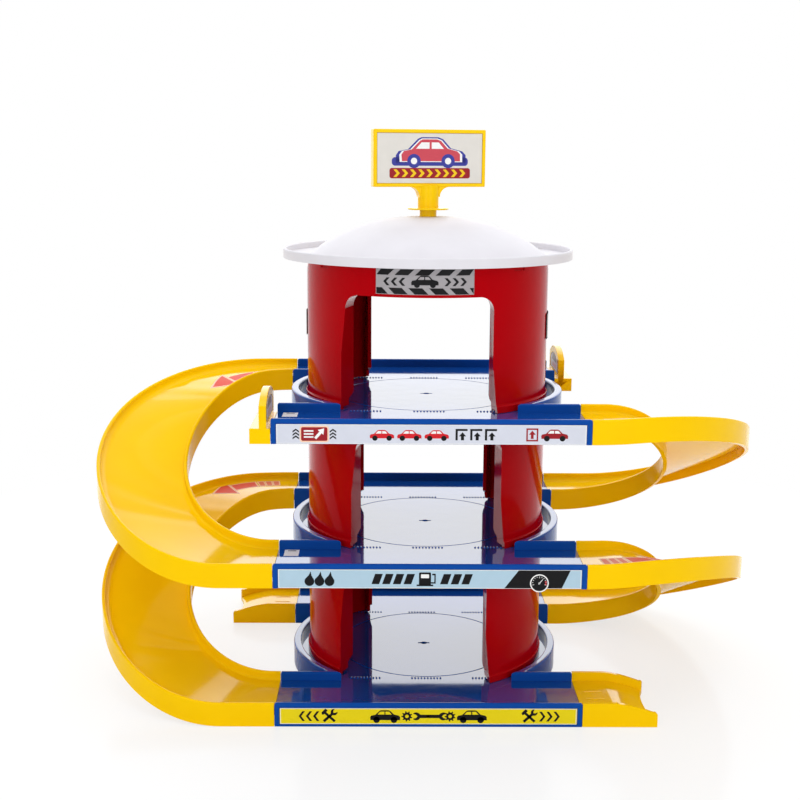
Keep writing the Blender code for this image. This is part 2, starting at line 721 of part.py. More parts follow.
def sign_board(name):
    """Framed board on a flared neck, with a collar and a spigot below."""
    collar_z = DOME_TOP_Z + SPIGOT_SHOW
    neck_z = collar_z + COLLAR_THICKNESS
    spigot_foot = DOME_TOP_Z - CUP_DEPTH + SEAT_GAP
    into_board = SIGN_BOARD_Z + SIGN_FRAME / 2
    post = turned("post", [
        (0.0, into_board), (NECK_RADIUS, into_board), (NECK_RADIUS, neck_z),
        (COLLAR_RADIUS, neck_z), (COLLAR_RADIUS, collar_z), (SPIGOT_RADIUS, collar_z),
        (SPIGOT_RADIUS, spigot_foot), (0.0, spigot_foot),
    ], closed=False, steps=POST_STEPS)
    half_width = NECK_RADIUS + FLARE_RADIUS
    foot = SIGN_BOARD_Z - FLARE_RADIUS
    outline = arc((half_width, foot), FLARE_RADIUS, math.pi / 2, math.pi, 6)
    outline = [(half_width, into_board)] + outline
    outline += [(-x, z) for x, z in reversed(outline)]
    half_flare = FLARE_THICKNESS / 2
    flare = slab("flare", outline, -half_flare, half_flare, upright="Y")

    half = SIGN_WIDTH / 2
    front = -SIGN_THICKNESS / 2
    top = SIGN_BOARD_Z + SIGN_HEIGHT
    board = box(name, (-half, front, SIGN_BOARD_Z), (half, -front, top))
    edge = board.modifiers.new("Round", "BEVEL")
    edge.width = SIGN_EDGE_ROUND
    edge.segments = 2
    apply_modifiers(board)
    boolean(board, "UNION", post, flare)
    inset = half - SIGN_FRAME
    recess = box(
        "recess", (-inset, front - CUT_OVER, SIGN_BOARD_Z + SIGN_FRAME),
        (inset, front + CARD_SINK + CARD_THICKNESS + SEAT_GAP, top - SIGN_FRAME),
    )
    boolean(board, "DIFFERENCE", recess)
    return board


def sign_card(name):
    """Printed card in the sign's frame."""
    half = SIGN_WIDTH / 2 - SIGN_FRAME - SEAT_GAP
    front = -SIGN_THICKNESS / 2 + CARD_SINK
    inset = SIGN_FRAME + SEAT_GAP
    low = (-half, front, SIGN_BOARD_Z + inset)
    high = (half, front + CARD_THICKNESS, SIGN_BOARD_Z + SIGN_HEIGHT - inset)
    return box(name, low, high)


def build_decks(parts, blue, papers):
    base = deck_mould("base_deck", BASE_LABEL_FOOT)
    finish(base, blue[0], parts)
    middle = deck_mould("middle_deck", -CUT_OVER)
    finish(middle, blue[1], parts, lift=DECK_PITCH)
    top = copy_piece(middle, "top_deck", parts, lift=2 * DECK_PITCH)
    top.data = middle.data.copy()
    top.data.materials[0] = blue[2]
    feet = (BASE_LABEL_FOOT, 0.0, 0.0)
    for level, (name, foot) in enumerate(zip(("base", "middle", "top"), feet)):
        label = front_label("label_" + name, foot)
        finish(label, papers[level], parts, lift=level * DECK_PITCH)


def build_storeys(parts, red, grey, black):
    lower = storey("storey_lower", STOREY_HEIGHT)
    finish(lower, red, parts, turn=LOWER_STOREY_TURN, lift=STOREY_FOOT)
    lift = DECK_PITCH + STOREY_FOOT
    copy_piece(lower, "storey_middle", parts, turn=MIDDLE_STOREY_TURN, lift=lift)
    foot = 2 * DECK_PITCH + STOREY_FOOT
    upper = storey("storey_upper", UPPER_STOREY_HEIGHT)
    finish(upper, red, parts, turn=UPPER_STOREY_TURN, lift=foot)

    plate_top = UPPER_STOREY_HEIGHT - HAZARD_BELOW_LID
    front = -math.pi / 2
    hazard = curved_plate(
        "hazard_plate", front, HAZARD_WIDTH, plate_top - HAZARD_HEIGHT, plate_top
    )
    finish(hazard, grey, parts, turn=UPPER_STOREY_TURN + HAZARD_TURN, lift=foot)
    low, high = SIDE_PLATE_Z - SIDE_PLATE_HEIGHT / 2, SIDE_PLATE_Z + SIDE_PLATE_HEIGHT / 2
    right = curved_plate("side_plate_right", 0.0, SIDE_PLATE_WIDTH, low, high)
    finish(right, black, parts, turn=UPPER_STOREY_TURN, lift=foot)
    opposite = UPPER_STOREY_TURN + math.pi
    copy_piece(right, "side_plate_left", parts, turn=opposite, lift=foot)


def build_roads(parts, yellow, paper):
    first = ramp("ramp_left_lower")
    finish(first, yellow, parts)
    copy_piece(first, "ramp_left_upper", parts, lift=DECK_PITCH)
    copy_piece(first, "ramp_right_lower", parts, turn=math.pi)
    copy_piece(first, "ramp_right_upper", parts, turn=math.pi, lift=DECK_PITCH)
    back = wedge("exit_wedge_back")
    finish(back, yellow, parts)
    copy_piece(back, "exit_wedge_front", parts, turn=math.pi)
    level = 2 * DECK_PITCH
    stop = end_stop("end_stop_front")
    finish(stop, yellow, parts, lift=level)
    copy_piece(stop, "end_stop_back", parts, turn=math.pi, lift=level)
    card = stop_card("stop_card_front")
    finish(card, paper, parts, lift=level)
    copy_piece(card, "stop_card_back", parts, turn=math.pi, lift=level)


def build_roof(parts, white, yellow, paper):
    finish(lid("roof_lid"), white, parts)
    axis = bpy.data.objects.new("sign_axis", None)
    axis.location.z = DOME_TOP_Z
    axis.rotation_euler.z = SIGN_TURN
    parts.objects.link(axis)
    for piece, material in ((sign_board("sign_board"), yellow), (sign_card("sign_face"), paper)):
        finish(piece, material, parts)
        piece.parent = axis
        piece.location.z = -DOME_TOP_Z


def main():
    for obj in list(bpy.data.objects):
        bpy.data.objects.remove(obj)
    parts = new_collection("toy_parking_garage")
    blue = [plastic(level + "_deck_blue", "16389A", 0.12) for level in ("base", "middle", "top")]
    yellow = plastic("ramp_yellow", "F7C905", 0.22)
    red = plastic("storey_red", "CC1018", 0.15)
    white = plastic("lid_white", "F4F2F6", 0.25)
    card = plastic("card_white", "DFDDD7", 0.45)
    papers = [
        plastic("label_yellow", "D9C627", 0.45),
        plastic("label_sky", "B0CADA", 0.45),
        plastic("label_grey", "D2D5E0", 0.45),
    ]
    build_decks(parts, blue, papers)
    grey = plastic("plate_grey", "A8A4A6", 0.45)
    build_storeys(parts, red, grey, plastic("plate_black", "262626", 0.45))
    build_roads(parts, yellow, card)
    build_roof(parts, white, plastic("sign_yellow", "F7CF09", 0.25), card)


main()
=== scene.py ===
import json
import math

import bmesh
import bpy
from bpy.props import FloatProperty, FloatVectorProperty, IntProperty, PointerProperty
from mathutils import Matrix, Vector

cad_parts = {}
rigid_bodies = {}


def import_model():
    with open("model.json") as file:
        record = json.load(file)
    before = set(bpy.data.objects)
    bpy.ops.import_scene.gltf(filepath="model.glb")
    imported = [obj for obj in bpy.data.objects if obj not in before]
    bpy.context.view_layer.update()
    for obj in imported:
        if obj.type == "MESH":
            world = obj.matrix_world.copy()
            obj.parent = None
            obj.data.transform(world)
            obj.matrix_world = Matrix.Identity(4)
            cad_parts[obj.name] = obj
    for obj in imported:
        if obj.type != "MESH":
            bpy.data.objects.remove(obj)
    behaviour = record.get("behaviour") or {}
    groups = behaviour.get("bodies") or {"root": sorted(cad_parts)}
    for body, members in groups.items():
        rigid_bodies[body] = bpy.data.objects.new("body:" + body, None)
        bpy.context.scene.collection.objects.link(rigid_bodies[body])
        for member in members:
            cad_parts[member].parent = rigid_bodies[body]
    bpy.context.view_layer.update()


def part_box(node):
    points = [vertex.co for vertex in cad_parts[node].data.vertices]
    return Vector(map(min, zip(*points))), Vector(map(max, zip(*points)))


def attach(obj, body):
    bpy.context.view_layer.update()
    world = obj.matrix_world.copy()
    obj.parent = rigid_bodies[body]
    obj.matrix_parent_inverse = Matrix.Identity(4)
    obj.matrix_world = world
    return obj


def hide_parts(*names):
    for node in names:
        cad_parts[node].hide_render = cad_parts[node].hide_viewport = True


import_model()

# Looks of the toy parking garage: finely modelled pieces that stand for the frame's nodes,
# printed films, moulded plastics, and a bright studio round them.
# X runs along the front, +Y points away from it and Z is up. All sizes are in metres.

bl_info = {
    "name": "Toy Parking Garage",
    "version": (1, 0, 0),
    "blender": (4, 5, 0),
    "location": "View3D > Sidebar > Garage",
    "description": "Builds a toy parking garage piece by piece, with its studio",
    "category": "Add Mesh",
}

MM = 0.001

# Decks
DECK_LENGTH = 0.188
DECK_DEPTH = 0.224
DECK_HEIGHT = 0.0152
DECK_PITCH = 0.0885
STRIP_WIDTH = 0.050
ROAD_DROP = 0.0057         # from the top of the lips to the road
PLATE = 0.0022
LIP_WALL = 0.0028
SKIRT_WALL = 0.0026
RIM_RADIUS = 0.090
RIM_WALL = 0.0050
GROOVE_RADIUS = 0.058
GROOVE_WIDTH = 0.0010
KEY_HOLE_RADIUS = 0.0022
KEY_SLOT = (0.0080, 0.0018)       # length and width
TONGUE = (0.0060, 0.038, 0.0022)  # reach, width and thickness
RIB_ROW = 0.0605           # of the rows of parking ribs, from the middle of the deck
RIB_GROUP = 0.0395         # from one group of ribs to the next
RIB_PITCH = 0.00205
RIB_PLAN = (0.00105, 0.0019)      # along X and Y
NOTE_PLACE = (-0.0856, -0.0725)   # of the small film on a road
SEAT_GAP = 0.0003
LABEL_THICKNESS = 0.0005
LABEL_END_MARGIN = 0.0029
LABEL_TOP_MARGIN = 0.0030
BASE_LABEL_FOOT = 0.0014

# Drum storeys
DRUM_RADIUS = 0.079
DRUM_WALL = 0.0024
FOOT_HEIGHT = 0.0050
FOOT_FLANGE = 0.0012
DOOR_HALF_WIDTH = 0.0428
DOOR_HEIGHT = 0.0725
DOOR_CORNER = 0.009
DOOR_SPLAY_TOP = 0.0025
DOOR_SPLAY_FOOT = 0.0057
JAMB_WALL = 0.0022
JAMB_DEPTH = 0.014
JAMB_LIFT = 0.0013
JAMB_FOOT_CUT = 0.0060
JAMB_FOOT_HEIGHT = 0.0055
JAMB_FOOT_SLOPE = 0.0030
STOREY_TURNS = (math.radians(-7), 0.0, math.radians(-6))  # how far each stands turned
UPPER_STOREY_RISE = 0.0052
NOTCH = (0.010, 0.0036, 0.0010)   # width, height and depth
NOTCH_ANGLE = math.radians(40)

# Ramps
RAMP_WALL = 0.0024
RAMP_OUTER_REACH = 0.1061
RAMP_INNER_REACH = 0.0640
RAMP_OUTER_LEAD = 0.0325
RAMP_INNER_LEAD = 0.0040
RAMP_LEVEL_END = 0.075
RAMP_BANK = 0.0140
ARROW_START = 0.035        # of the printed arrows, as a share of the half turn
# Each fold's place at the inner wall and how much further on it is at the outer one
RAMP_FOLDS = ((0.187, 0.085), (0.242, 0.090), (0.716, -0.108), (0.759, -0.072))
FOLD_DEPTH = 0.00034
FOLD_REACH = 0.030         # of a fold to either side, as a share of the half turn

# Run-off wedges and end stops
WEDGE_LENGTH = 0.046
WEDGE_TIP_WALL = 0.0082
WEDGE_LEVEL = 0.020        # length before the run-off starts to fall
WEDGE_FALL = 1.5           # how the fall grows towards the tip
WEDGE_TIP_FLOOR = 0.0026
WEDGE_TIP_ROUND = 0.0016
WEDGE_TIP_HOLLOW = 0.0045
WEDGE_CAVITY = 0.028
WEDGE_RIB_PLAN = (0.011, 0.0009)  # along X and Y
WEDGE_RIB_PLACE = (0.011, 0.0052)  # from the deck's end and from the strip's middle
WEDGE_RIB_SHARE = 0.5      # of the height of a parking rib
STOP_LENGTH = 0.0122
STOP_HEIGHT = 0.0092
STOP_PANEL_SETBACK = 0.0022
STOP_PANEL = 0.0044
STOP_SHOULDER = 0.0223
STOP_ARCH = 0.0070
STOP_FRAME = 0.0050
CARD_THICKNESS = 0.0006
CARD_SINK = 0.0003
STOP_PRINT_LIFT = 0.0064   # of the print's middle over the card's foot

# Lid and sign
LID_RADIUS = 0.0945
LID_RIM_HEIGHT = 0.0062
LID_RIM_WALL = 0.0020
LID_PLATE = 0.0020
DOME_RADIUS = 0.077
DOME_RISE = 0.0242
DOME_SWELL = 2.6           # how full the dome is between its top and its foot
DOME_WALL = 0.0020
LID_COLLAR_WALL = 0.0018
LID_COLLAR_DEPTH = 0.0060
CUP_DEPTH = 0.0110
CUP_WALL = 0.0020
TURN_GAP = 0.0003
SIGN_TURN = math.radians(14)
SIGN_WIDTH = 0.075
SIGN_HEIGHT = 0.0365
SIGN_THICKNESS = 0.0080
SIGN_FRAME = 0.0022
SIGN_FOOT_Z = 0.0190
SPIGOT_RADIUS = 0.0056
SPIGOT_SHOW = 0.0044
COLLAR_RADIUS = 0.0134
COLLAR_THICKNESS = 0.0010
NECK_RADIUS = 0.0069
FLARE_RADIUS = 0.0064
FLARE_THICKNESS = 0.0070

# Plates on the upper storey
HAZARD_WIDTH = 0.060
HAZARD_HEIGHT = 0.0155
HAZARD_BELOW_LID = 0.0010
HAZARD_TURN = math.radians(3.2)
SIDE_PLATE_WIDTH = 0.024
SIDE_PLATE_HEIGHT = 0.0165
SIDE_PLATE_Z = 0.0480

# Sizes that follow
ROAD_Z = DECK_HEIGHT - ROAD_DROP
ROAD_UNDERSIDE = ROAD_Z - PLATE
STRIP_MIDDLE = DECK_DEPTH / 2 - STRIP_WIDTH / 2
STOREY_FOOT = ROAD_Z + SEAT_GAP
STOREY_HEIGHT = DECK_PITCH + ROAD_UNDERSIDE - SEAT_GAP - STOREY_FOOT
UPPER_STOREY_HEIGHT = STOREY_HEIGHT + UPPER_STOREY_RISE
LID_Z = 2 * DECK_PITCH + STOREY_FOOT + UPPER_STOREY_HEIGHT + SEAT_GAP
DOME_TOP_Z = LID_Z + LID_PLATE + DOME_RISE
SIGN_BOARD_Z = DOME_TOP_Z + SIGN_FOOT_Z
PLATE_RADIUS = DRUM_RADIUS + SEAT_GAP + LABEL_THICKNESS

# Fineness
SAME = 1e-5                # heights and places that differ less are the same
SHARP_EDGE = 0.5           # smallest angle of an edge that is rounded, in radians
SHADED_EDGE = math.radians(32)
DRUM_STEPS = 144
LID_STEPS = 192
RIM_STEPS = 40
RAMP_STEPS = 128
PRINT_SLICE = 0.002        # widest step of a print that follows a curve
PRINT_INSET = 0.00005      # of a film's face below the frame's, so that its inks fit
RAMP_PRINT_LIFT = 0.00006  # keeps a print clear of the road's folds
PRINT_SINK = 0.00002       # of a print's underside below the surface
LAYER_STEP = 0.5           # from one printed layer to the next, in thicknesses of ink
CUT_OVER = 0.0010

# Studio
FLOOR_REACH = 3.0
FLOOR_DROP = 0.0002
CAMERA_PLACE = (-0.024864, -0.830707, 0.342589)
CAMERA_YAW = 0.00875496    # this and the next two in radians
CAMERA_PITCH = 0.19106563
CAMERA_ROLL = 0.00597317
CAMERA_LENS = 56.7


def length_property(label, description, default, low, high):
    """A small length that the panel shows."""
    return FloatProperty(
        name=label, description=description, default=default, min=low, max=high,
        subtype="DISTANCE", unit="LENGTH",
    )


class GarageSizes(bpy.types.PropertyGroup):
    """Sizes of the finish that can change without moving a piece."""
    lip_round: length_property(
        "Lip Rounding", "Radius of the tops of the decks' lips", 0.00135, 0.0002, 0.00138
    )
    edge_round: length_property(
        "Edge Rounding", "Radius of the other moulded edges", 0.00035, 0.0001, 0.0006
    )
    inner_fillet: length_property(
        "Inner Fillet", "Radius between a ramp's road and its inner wall", 0.0016, 0.0003, 0.004
    )
    outer_fillet: length_property(
        "Outer Fillet", "Radius between a ramp's road and its outer wall", 0.0036, 0.0003, 0.004
    )
    rib_height: length_property(
        "Rib Height", "Height of the parking ribs on the decks", 0.0006, 0.0001, 0.001
    )
    rib_count: IntProperty(
        name="Ribs", description="Parking ribs in one group", default=10, min=2, max=14,
    )
    ink_thickness: length_property(
        "Ink Thickness", "Thickness of one printed layer", 0.000012, 0.000008, 0.000015
    )


def srgb(hex_colour):
    """A hex colour as a linear triple."""
    channels = [int(hex_colour[i:i + 2], 16) / 255 for i in (0, 2, 4)]
    return [c / 12.92 if c <= 0.04045 else ((c + 0.055) / 1.055) ** 2.4 for c in channels]


def colour_property(label, hex_colour):
    """A colour that the panel shows."""
    return FloatVectorProperty(
        name=label, description=label + " of the garage", subtype="COLOR", size=3,
        min=0.0, max=1.0, default=srgb(hex_colour),
    )


class GarageColours(bpy.types.PropertyGroup):
    """Colours of the plastics, the films and the inks."""
    deck: colour_property("Deck Blue", "0F489C")
    storey: colour_property("Storey Red", "B4030D")
    road: colour_property("Ramp Yellow", "FFCB04")
    lid: colour_property("Lid White", "E0DEE3")
    sign: colour_property("Sign Yellow", "FACC08")
    film_yellow: colour_property("Base Label", "EAD40E")
    film_sky: colour_property("Middle Label", "B0CCDC")
    film_grey: colour_property("Top Label", "D4D7E2")
    card: colour_property("Card", "DEDAD2")
    plate_grey: colour_property("Hazard Plate", "C2BBBE")
    plate_black: colour_property("Side Plate", "1C1C1D")
    ink_black: colour_property("Black Ink", "0C0C0F")
    ink_white: colour_property("White Ink", "F2F2F0")
    ink_red: colour_property("Red Ink", "D2202A")
    ink_blue: colour_property("Blue Ink", "3C3F98")
    ink_yellow: colour_property("Yellow Ink", "F2C81A")
    ink_maroon: colour_property("Maroon Ink", "9A1C24")
    ink_rose: colour_property("Rose Ink", "CB4B58")
    ink_coral: colour_property("Coral Ink", "E2503F")
    ink_salmon: colour_property("Salmon Ink", "E0704F")
    ink_blush: colour_property("Blush Ink", "F6CDB0")
    ink_stone: colour_property("Stone Ink", "9C917C")


# Meshes

def arc(centre, radius, start, end, steps):
    """Points on a circle from one angle to another, both ends included."""
    angles = [start + (end - start) * i / steps for i in range(steps + 1)]
    return [(centre[0] + radius * math.cos(a), centre[1] + radius * math.sin(a)) for a in angles]


def write_ordered(bm, mesh):
    """Writes a bmesh to a mesh, with its points and faces in the same order on every run."""
    points = sorted(bm.verts, key=lambda vert: [round(value, 7) for value in vert.co])
    order = {point: index for index, point in enumerate(points)}
    rings = []
    for face in bm.faces:
        ring = [order[point] for point in face.verts]
        first = ring.index(min(ring))
        rings.append(ring[first:] + ring[:first])
    mesh.clear_geometry()
    mesh.from_pydata([point.co for point in points], [], sorted(rings))
    bm.free()


def solid(name, bm, matrix=None):
    """A mesh object at the origin from a bmesh, welded and facing outward."""
    bmesh.ops.remove_doubles(bm, verts=bm.verts, dist=1e-6)
    if matrix is not None:
        bmesh.ops.transform(bm, matrix=matrix, verts=bm.verts)
    bmesh.ops.recalc_face_normals(bm, faces=bm.faces)
    mesh = bpy.data.meshes.new(name)
    write_ordered(bm, mesh)
    obj = bpy.data.objects.new(name, mesh)
    bpy.context.scene.collection.objects.link(obj)
    return obj


def prism(name, outline, low, high, matrix=None):
    """A flat outline extruded along Z."""
    bm = bmesh.new()
    face = bm.faces.new([bm.verts.new((x, y, low)) for x, y in outline])
    grown = bmesh.ops.extrude_face_region(bm, geom=[face])
    moved = [item for item in grown["geom"] if isinstance(item, bmesh.types.BMVert)]
    bmesh.ops.translate(bm, verts=moved, vec=(0, 0, high - low))
    return solid(name, bm, matrix)


def block(name, low, high):
    """A block between two corners."""
    size = [b - a for a, b in zip(low, high)]
    middle = [(a + b) / 2 for a, b in zip(low, high)]
    bm = bmesh.new()
    matrix = Matrix.Translation(middle) @ Matrix.Diagonal((*size, 1.0))
    bmesh.ops.create_cube(bm, size=1.0, matrix=matrix)
    return solid(name, bm)


def turned(name, profile, closed=True, steps=DRUM_STEPS):
    """A profile of (radius, height) spun about Z."""
    bm = bmesh.new()
    verts = [bm.verts.new((radius, 0.0, z)) for radius, z in profile]
    edges = [bm.edges.new(pair) for pair in zip(verts, verts[1:])]
    if closed:
        edges.append(bm.edges.new((verts[-1], verts[0])))
    bmesh.ops.spin(
        bm, geom=verts + edges, cent=(0, 0, 0), axis=(0, 0, 1), angle=2 * math.pi,
        steps=steps, use_merge=True, use_duplicate=False,
    )
    return solid(name, bm)


def lofted(name, rings):
    """A solid through closed rings of points, capped at both ends."""
    bm = bmesh.new()
    loops = []
    for points in rings:
        ring = [bm.verts.new(point) for point in points]
        loops.append((ring, [bm.edges.new((ring[i - 1], ring[i])) for i in range(len(ring))]))
    for (_, first), (_, second) in zip(loops, loops[1:]):
        bmesh.ops.bridge_loops(bm, edges=first + second)
    bm.faces.new(loops[0][0])
    bm.faces.new(loops[-1][0])
    return solid(name, bm)


def evaluated(obj):
    """The object's mesh with its modifiers applied, welded and with joined flat faces."""
    bpy.context.view_layer.update()
    depsgraph = bpy.context.evaluated_depsgraph_get()
    mesh = bpy.data.meshes.new_from_object(obj.evaluated_get(depsgraph))
    bm = bmesh.new()
    bm.from_mesh(mesh)
    bmesh.ops.remove_doubles(bm, verts=bm.verts, dist=2e-6)
    bmesh.ops.dissolve_limit(bm, angle_limit=0.0008, verts=bm.verts, edges=bm.edges)
    bmesh.ops.recalc_face_normals(bm, faces=bm.faces)
    write_ordered(bm, mesh)
    return mesh


def boolean(target, operation, *tools):
    """Joins the tools to the target, or cuts them from it, and removes them."""
    for tool in tools:
        modifier = target.modifiers.new(operation.title(), "BOOLEAN")
        modifier.solver = "EXACT"
        modifier.operation = operation
        modifier.object = tool
    mesh = evaluated(target)
    target.modifiers.clear()
    target.data = mesh
    for tool in tools:
        bpy.data.objects.remove(tool)


def round_edges(obj, wanted, radius, segments=3):
    """Rounds the sharp edges that the test function picks by their two ends."""
    bm = bmesh.new()
    bm.from_mesh(obj.data)
    sharp = [edge for edge in bm.edges if edge.is_manifold and edge.calc_face_angle() > SHARP_EDGE]
    picked = [edge for edge in sharp if wanted(edge.verts[0].co, edge.verts[1].co)]
    bmesh.ops.bevel(
        bm, geom=picked, offset=radius, segments=segments, profile=0.5, affect="EDGES",
        material=-1, clamp_overlap=True,
    )
    write_ordered(bm, obj.data)


def finish(obj, node, material, place=None, body="garage"):
    """Puts a piece in its place, shades it, gives it its material and lets it stand for a node."""
    if place is not None:
        obj.data.transform(place)
    obj.data.materials.clear()
    obj.data.materials.append(material)
    obj.data.shade_smooth()
    obj.data.set_sharp_from_angle(angle=SHADED_EDGE)
    weighted = obj.modifiers.new("Normals", "WEIGHTED_NORMAL")
    weighted.keep_sharp = True
    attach(obj, body)
    if node:
        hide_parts(node)
    return obj


# Materials

def add(tree, kind, inputs, **settings):
    """Adds a node with its settings, its values and its links."""
    made = tree.nodes.new(kind)
    for name, value in settings.items():
        setattr(made, name, value)
    for key, value in inputs.items():
        if isinstance(value, bpy.types.NodeSocket):
            tree.links.new(value, made.inputs[key])
        else:
            made.inputs[key].default_value = value
    return made


def surface(name, colour):
    """A new material with object coordinates: the tree, its shader and the coordinates."""
    material = bpy.data.materials.new(name)
    material.use_nodes = True
    material.diffuse_color = (*colour, 1.0)
    tree = material.node_tree
    coordinates = add(tree, "ShaderNodeTexCoord", {}).outputs["Object"]
    return material, tree, tree.nodes["Principled BSDF"], coordinates


def shade_of(colour, factor):
    """The colour made darker or lighter, with an alpha of 1."""
    return [min(channel * factor, 1.0) for channel in colour] + [1.0]


def noise(tree, place, scale, detail, **more):
    """Noise over the coordinates."""
    inputs = {"Vector": place, "Scale": scale, "Detail": detail, **more}
    return add(tree, "ShaderNodeTexNoise", inputs).outputs["Fac"]


def remapped(tree, value, from_low, from_high, to_low=0.0, to_high=1.0):
    """The value carried over from one range to another, and held at its ends."""
    inputs = {0: value, 1: from_low, 2: from_high, 3: to_low, 4: to_high}
    return add(tree, "ShaderNodeMapRange", inputs).outputs["Result"]


def product(tree, first, second):
    """Two values multiplied."""
    return add(tree, "ShaderNodeMath", {0: first, 1: second}, operation="MULTIPLY").outputs[0]


def clouded(tree, factor, colour, low, high):
    """The colour, darker and lighter with the factor."""
    inputs = {0: factor, 6: shade_of(colour, low), 7: shade_of(colour, high)}
    return add(tree, "ShaderNodeMix", inputs, data_type="RGBA").outputs[2]


def relief(tree, height, strength, distance, **more):
    """A normal that follows a height over the surface."""
    inputs = {"Height": height, "Strength": strength, "Distance": distance, **more}
    return add(tree, "ShaderNodeBump", inputs).outputs["Normal"]


def moulded_plastic(name, colour, roughness, ior=1.50, coat=0.0, coat_ior=1.5):
    """Injection-moulded ABS from a polished tool: an even, saturated colour, a clean gloss that
    turns mirror-like at a glancing angle on the level faces, a slight waviness, the finest of
    orange peel and a few hairline scuffs."""
    material, tree, shader, place = surface(name, colour)
    cloud = noise(tree, place, 42.0, 3.0)
    tree.links.new(clouded(tree, cloud, colour, 0.94, 1.05), shader.inputs["Base Color"])
    stretch = {"Vector": place, "Rotation": (0.3, 0.2, 0.7), "Scale": (1.0, 14.0, 5.0)}
    stretched = add(tree, "ShaderNodeMapping", stretch).outputs["Vector"]
    scuffs = noise(tree, stretched, 160.0, 6.0, Roughness=0.7)
    gloss = remapped(tree, scuffs, 0.35, 0.8, roughness * 0.8, roughness * 1.5)
    tree.links.new(gloss, shader.inputs["Roughness"])
    wavy = relief(tree, noise(tree, place, 75.0, 1.0), 0.25, 0.0003)
    peel = relief(tree, noise(tree, place, 900.0, 2.0), 0.18, 0.00003, Normal=wavy)
    tree.links.new(peel, shader.inputs["Normal"])
    facing = add(tree, "ShaderNodeLayerWeight", {"Blend": 0.5}).outputs["Facing"]
    veil = remapped(tree, facing, 0.30, 0.60, 0.0, coat)
    calm = remapped(tree, facing, 0.68, 0.84, 1.0, 0.52)
    normal = add(tree, "ShaderNodeNewGeometry", {}).outputs["Normal"]
    rise = add(tree, "ShaderNodeSeparateXYZ", {0: normal}).outputs["Z"]
    level = remapped(tree, rise, 0.55, 0.95)
    sheen = product(tree, product(tree, veil, calm), level)
    tree.links.new(sheen, shader.inputs["Coat Weight"])
    shader.inputs["IOR"].default_value = ior
    tint = [0.25 + 0.75 * channel for channel in colour]
    shader.inputs["Specular Tint"].default_value = (*tint, 1.0)
    shader.inputs["Coat Roughness"].default_value = roughness * 0.5
    shader.inputs["Coat IOR"].default_value = coat_ior
    return material


def printed_film(name, colour, roughness=0.38):
    """Self-adhesive vinyl film with offset print and a satin laminate: a faint cloudiness in the
    ink, a soft sheen and the lightest ripple from the glue under it."""
    material, tree, shader, place = surface(name, colour)
    cloud = noise(tree, place, 130.0, 4.0)
    tree.links.new(clouded(tree, cloud, colour, 0.94, 1.04), shader.inputs["Base Color"])
    grain = noise(tree, place, 2200.0, 2.0)
    sheen = remapped(tree, grain, 0.3, 0.7, roughness * 0.85, roughness * 1.2)
    tree.links.new(sheen, shader.inputs["Roughness"])
    ripple = relief(tree, noise(tree, place, 180.0, 1.0), 0.3, 0.0001)
    tree.links.new(ripple, shader.inputs["Normal"])
    shader.inputs["IOR"].default_value = 1.26
    return material


def finish_of(name):
    """The named finish, made once from the colours in the panel."""
    found = bpy.data.materials.get(name)
    if found is not None:
        return found
    colours = bpy.context.scene.garage_colours
    plastics = {
        "deck_plastic": (colours.deck, 0.085, 1.25, 1.0, 2.5),
        "storey_plastic": (colours.storey, 0.10, 1.17, 0.0, 1.5),
        "road_plastic": (colours.road, 0.13, 1.22, 0.8, 1.6),
        "lid_plastic": (colours.lid, 0.35, 1.12, 0.0, 1.5),
        "sign_plastic": (colours.sign, 0.20, 1.36, 0.3, 1.5),
    }
    if name in plastics:
        colour, roughness, ior, coat, coat_ior = plastics[name]
        return moulded_plastic(name, tuple(colour), roughness, ior, coat, coat_ior)
    return printed_film(name, tuple(getattr(colours, name)))


# Decks

def strips_and_disc(half_length, outer, inner, radius):
    """Plan of two road strips and the disc between them, anticlockwise."""
    reach = math.asin(inner / radius)
    half = [(half_length, -outer), (half_length, -inner)]
    half += arc((0, 0), radius, -reach, reach, RIM_STEPS)
    half += [(half_length, inner), (half_length, outer)]
    return half + [(-x, -y) for x, y in half]


def deck_plan(inset):
    """Outline of a deck, drawn in by the inset."""
    return strips_and_disc(
        DECK_LENGTH / 2 - inset, DECK_DEPTH / 2 - inset, DECK_DEPTH / 2 - STRIP_WIDTH + inset,
        RIM_RADIUS - inset,
    )


def road_plan():
    """The road, open at the strips' ends and inside the lips and the round rim."""
    return strips_and_disc(
        DECK_LENGTH / 2 + CUT_OVER, DECK_DEPTH / 2 - LIP_WALL,
        DECK_DEPTH / 2 - STRIP_WIDTH + LIP_WALL, RIM_RADIUS - RIM_WALL,
    )


def deck_tongue(side_x, side_y):
    """Tongue at a strip's end, which carries the piece that joins there."""
    wall_middle = DECK_LENGTH / 2 - SKIRT_WALL / 2
    reach, width, thickness = TONGUE
    ends = sorted((side_x * wall_middle, side_x * (DECK_LENGTH / 2 + reach)))
    middle = side_y * STRIP_MIDDLE
    top = ROAD_UNDERSIDE - SEAT_GAP
    low = (ends[0], middle - width / 2, top - thickness)
    return block("tongue", low, (ends[1], middle + width / 2, top))


def label_recess(side_y, foot):
    """Shallow recess for a printed strip, in the front or back face."""
    face = side_y * DECK_DEPTH / 2
    ends = sorted((face - side_y * (LABEL_THICKNESS + SEAT_GAP), face + side_y * CUT_OVER))
    half = DECK_LENGTH / 2 - LABEL_END_MARGIN
    return block("recess", (-half, ends[0], foot), (half, ends[1], DECK_HEIGHT - LABEL_TOP_MARGIN))


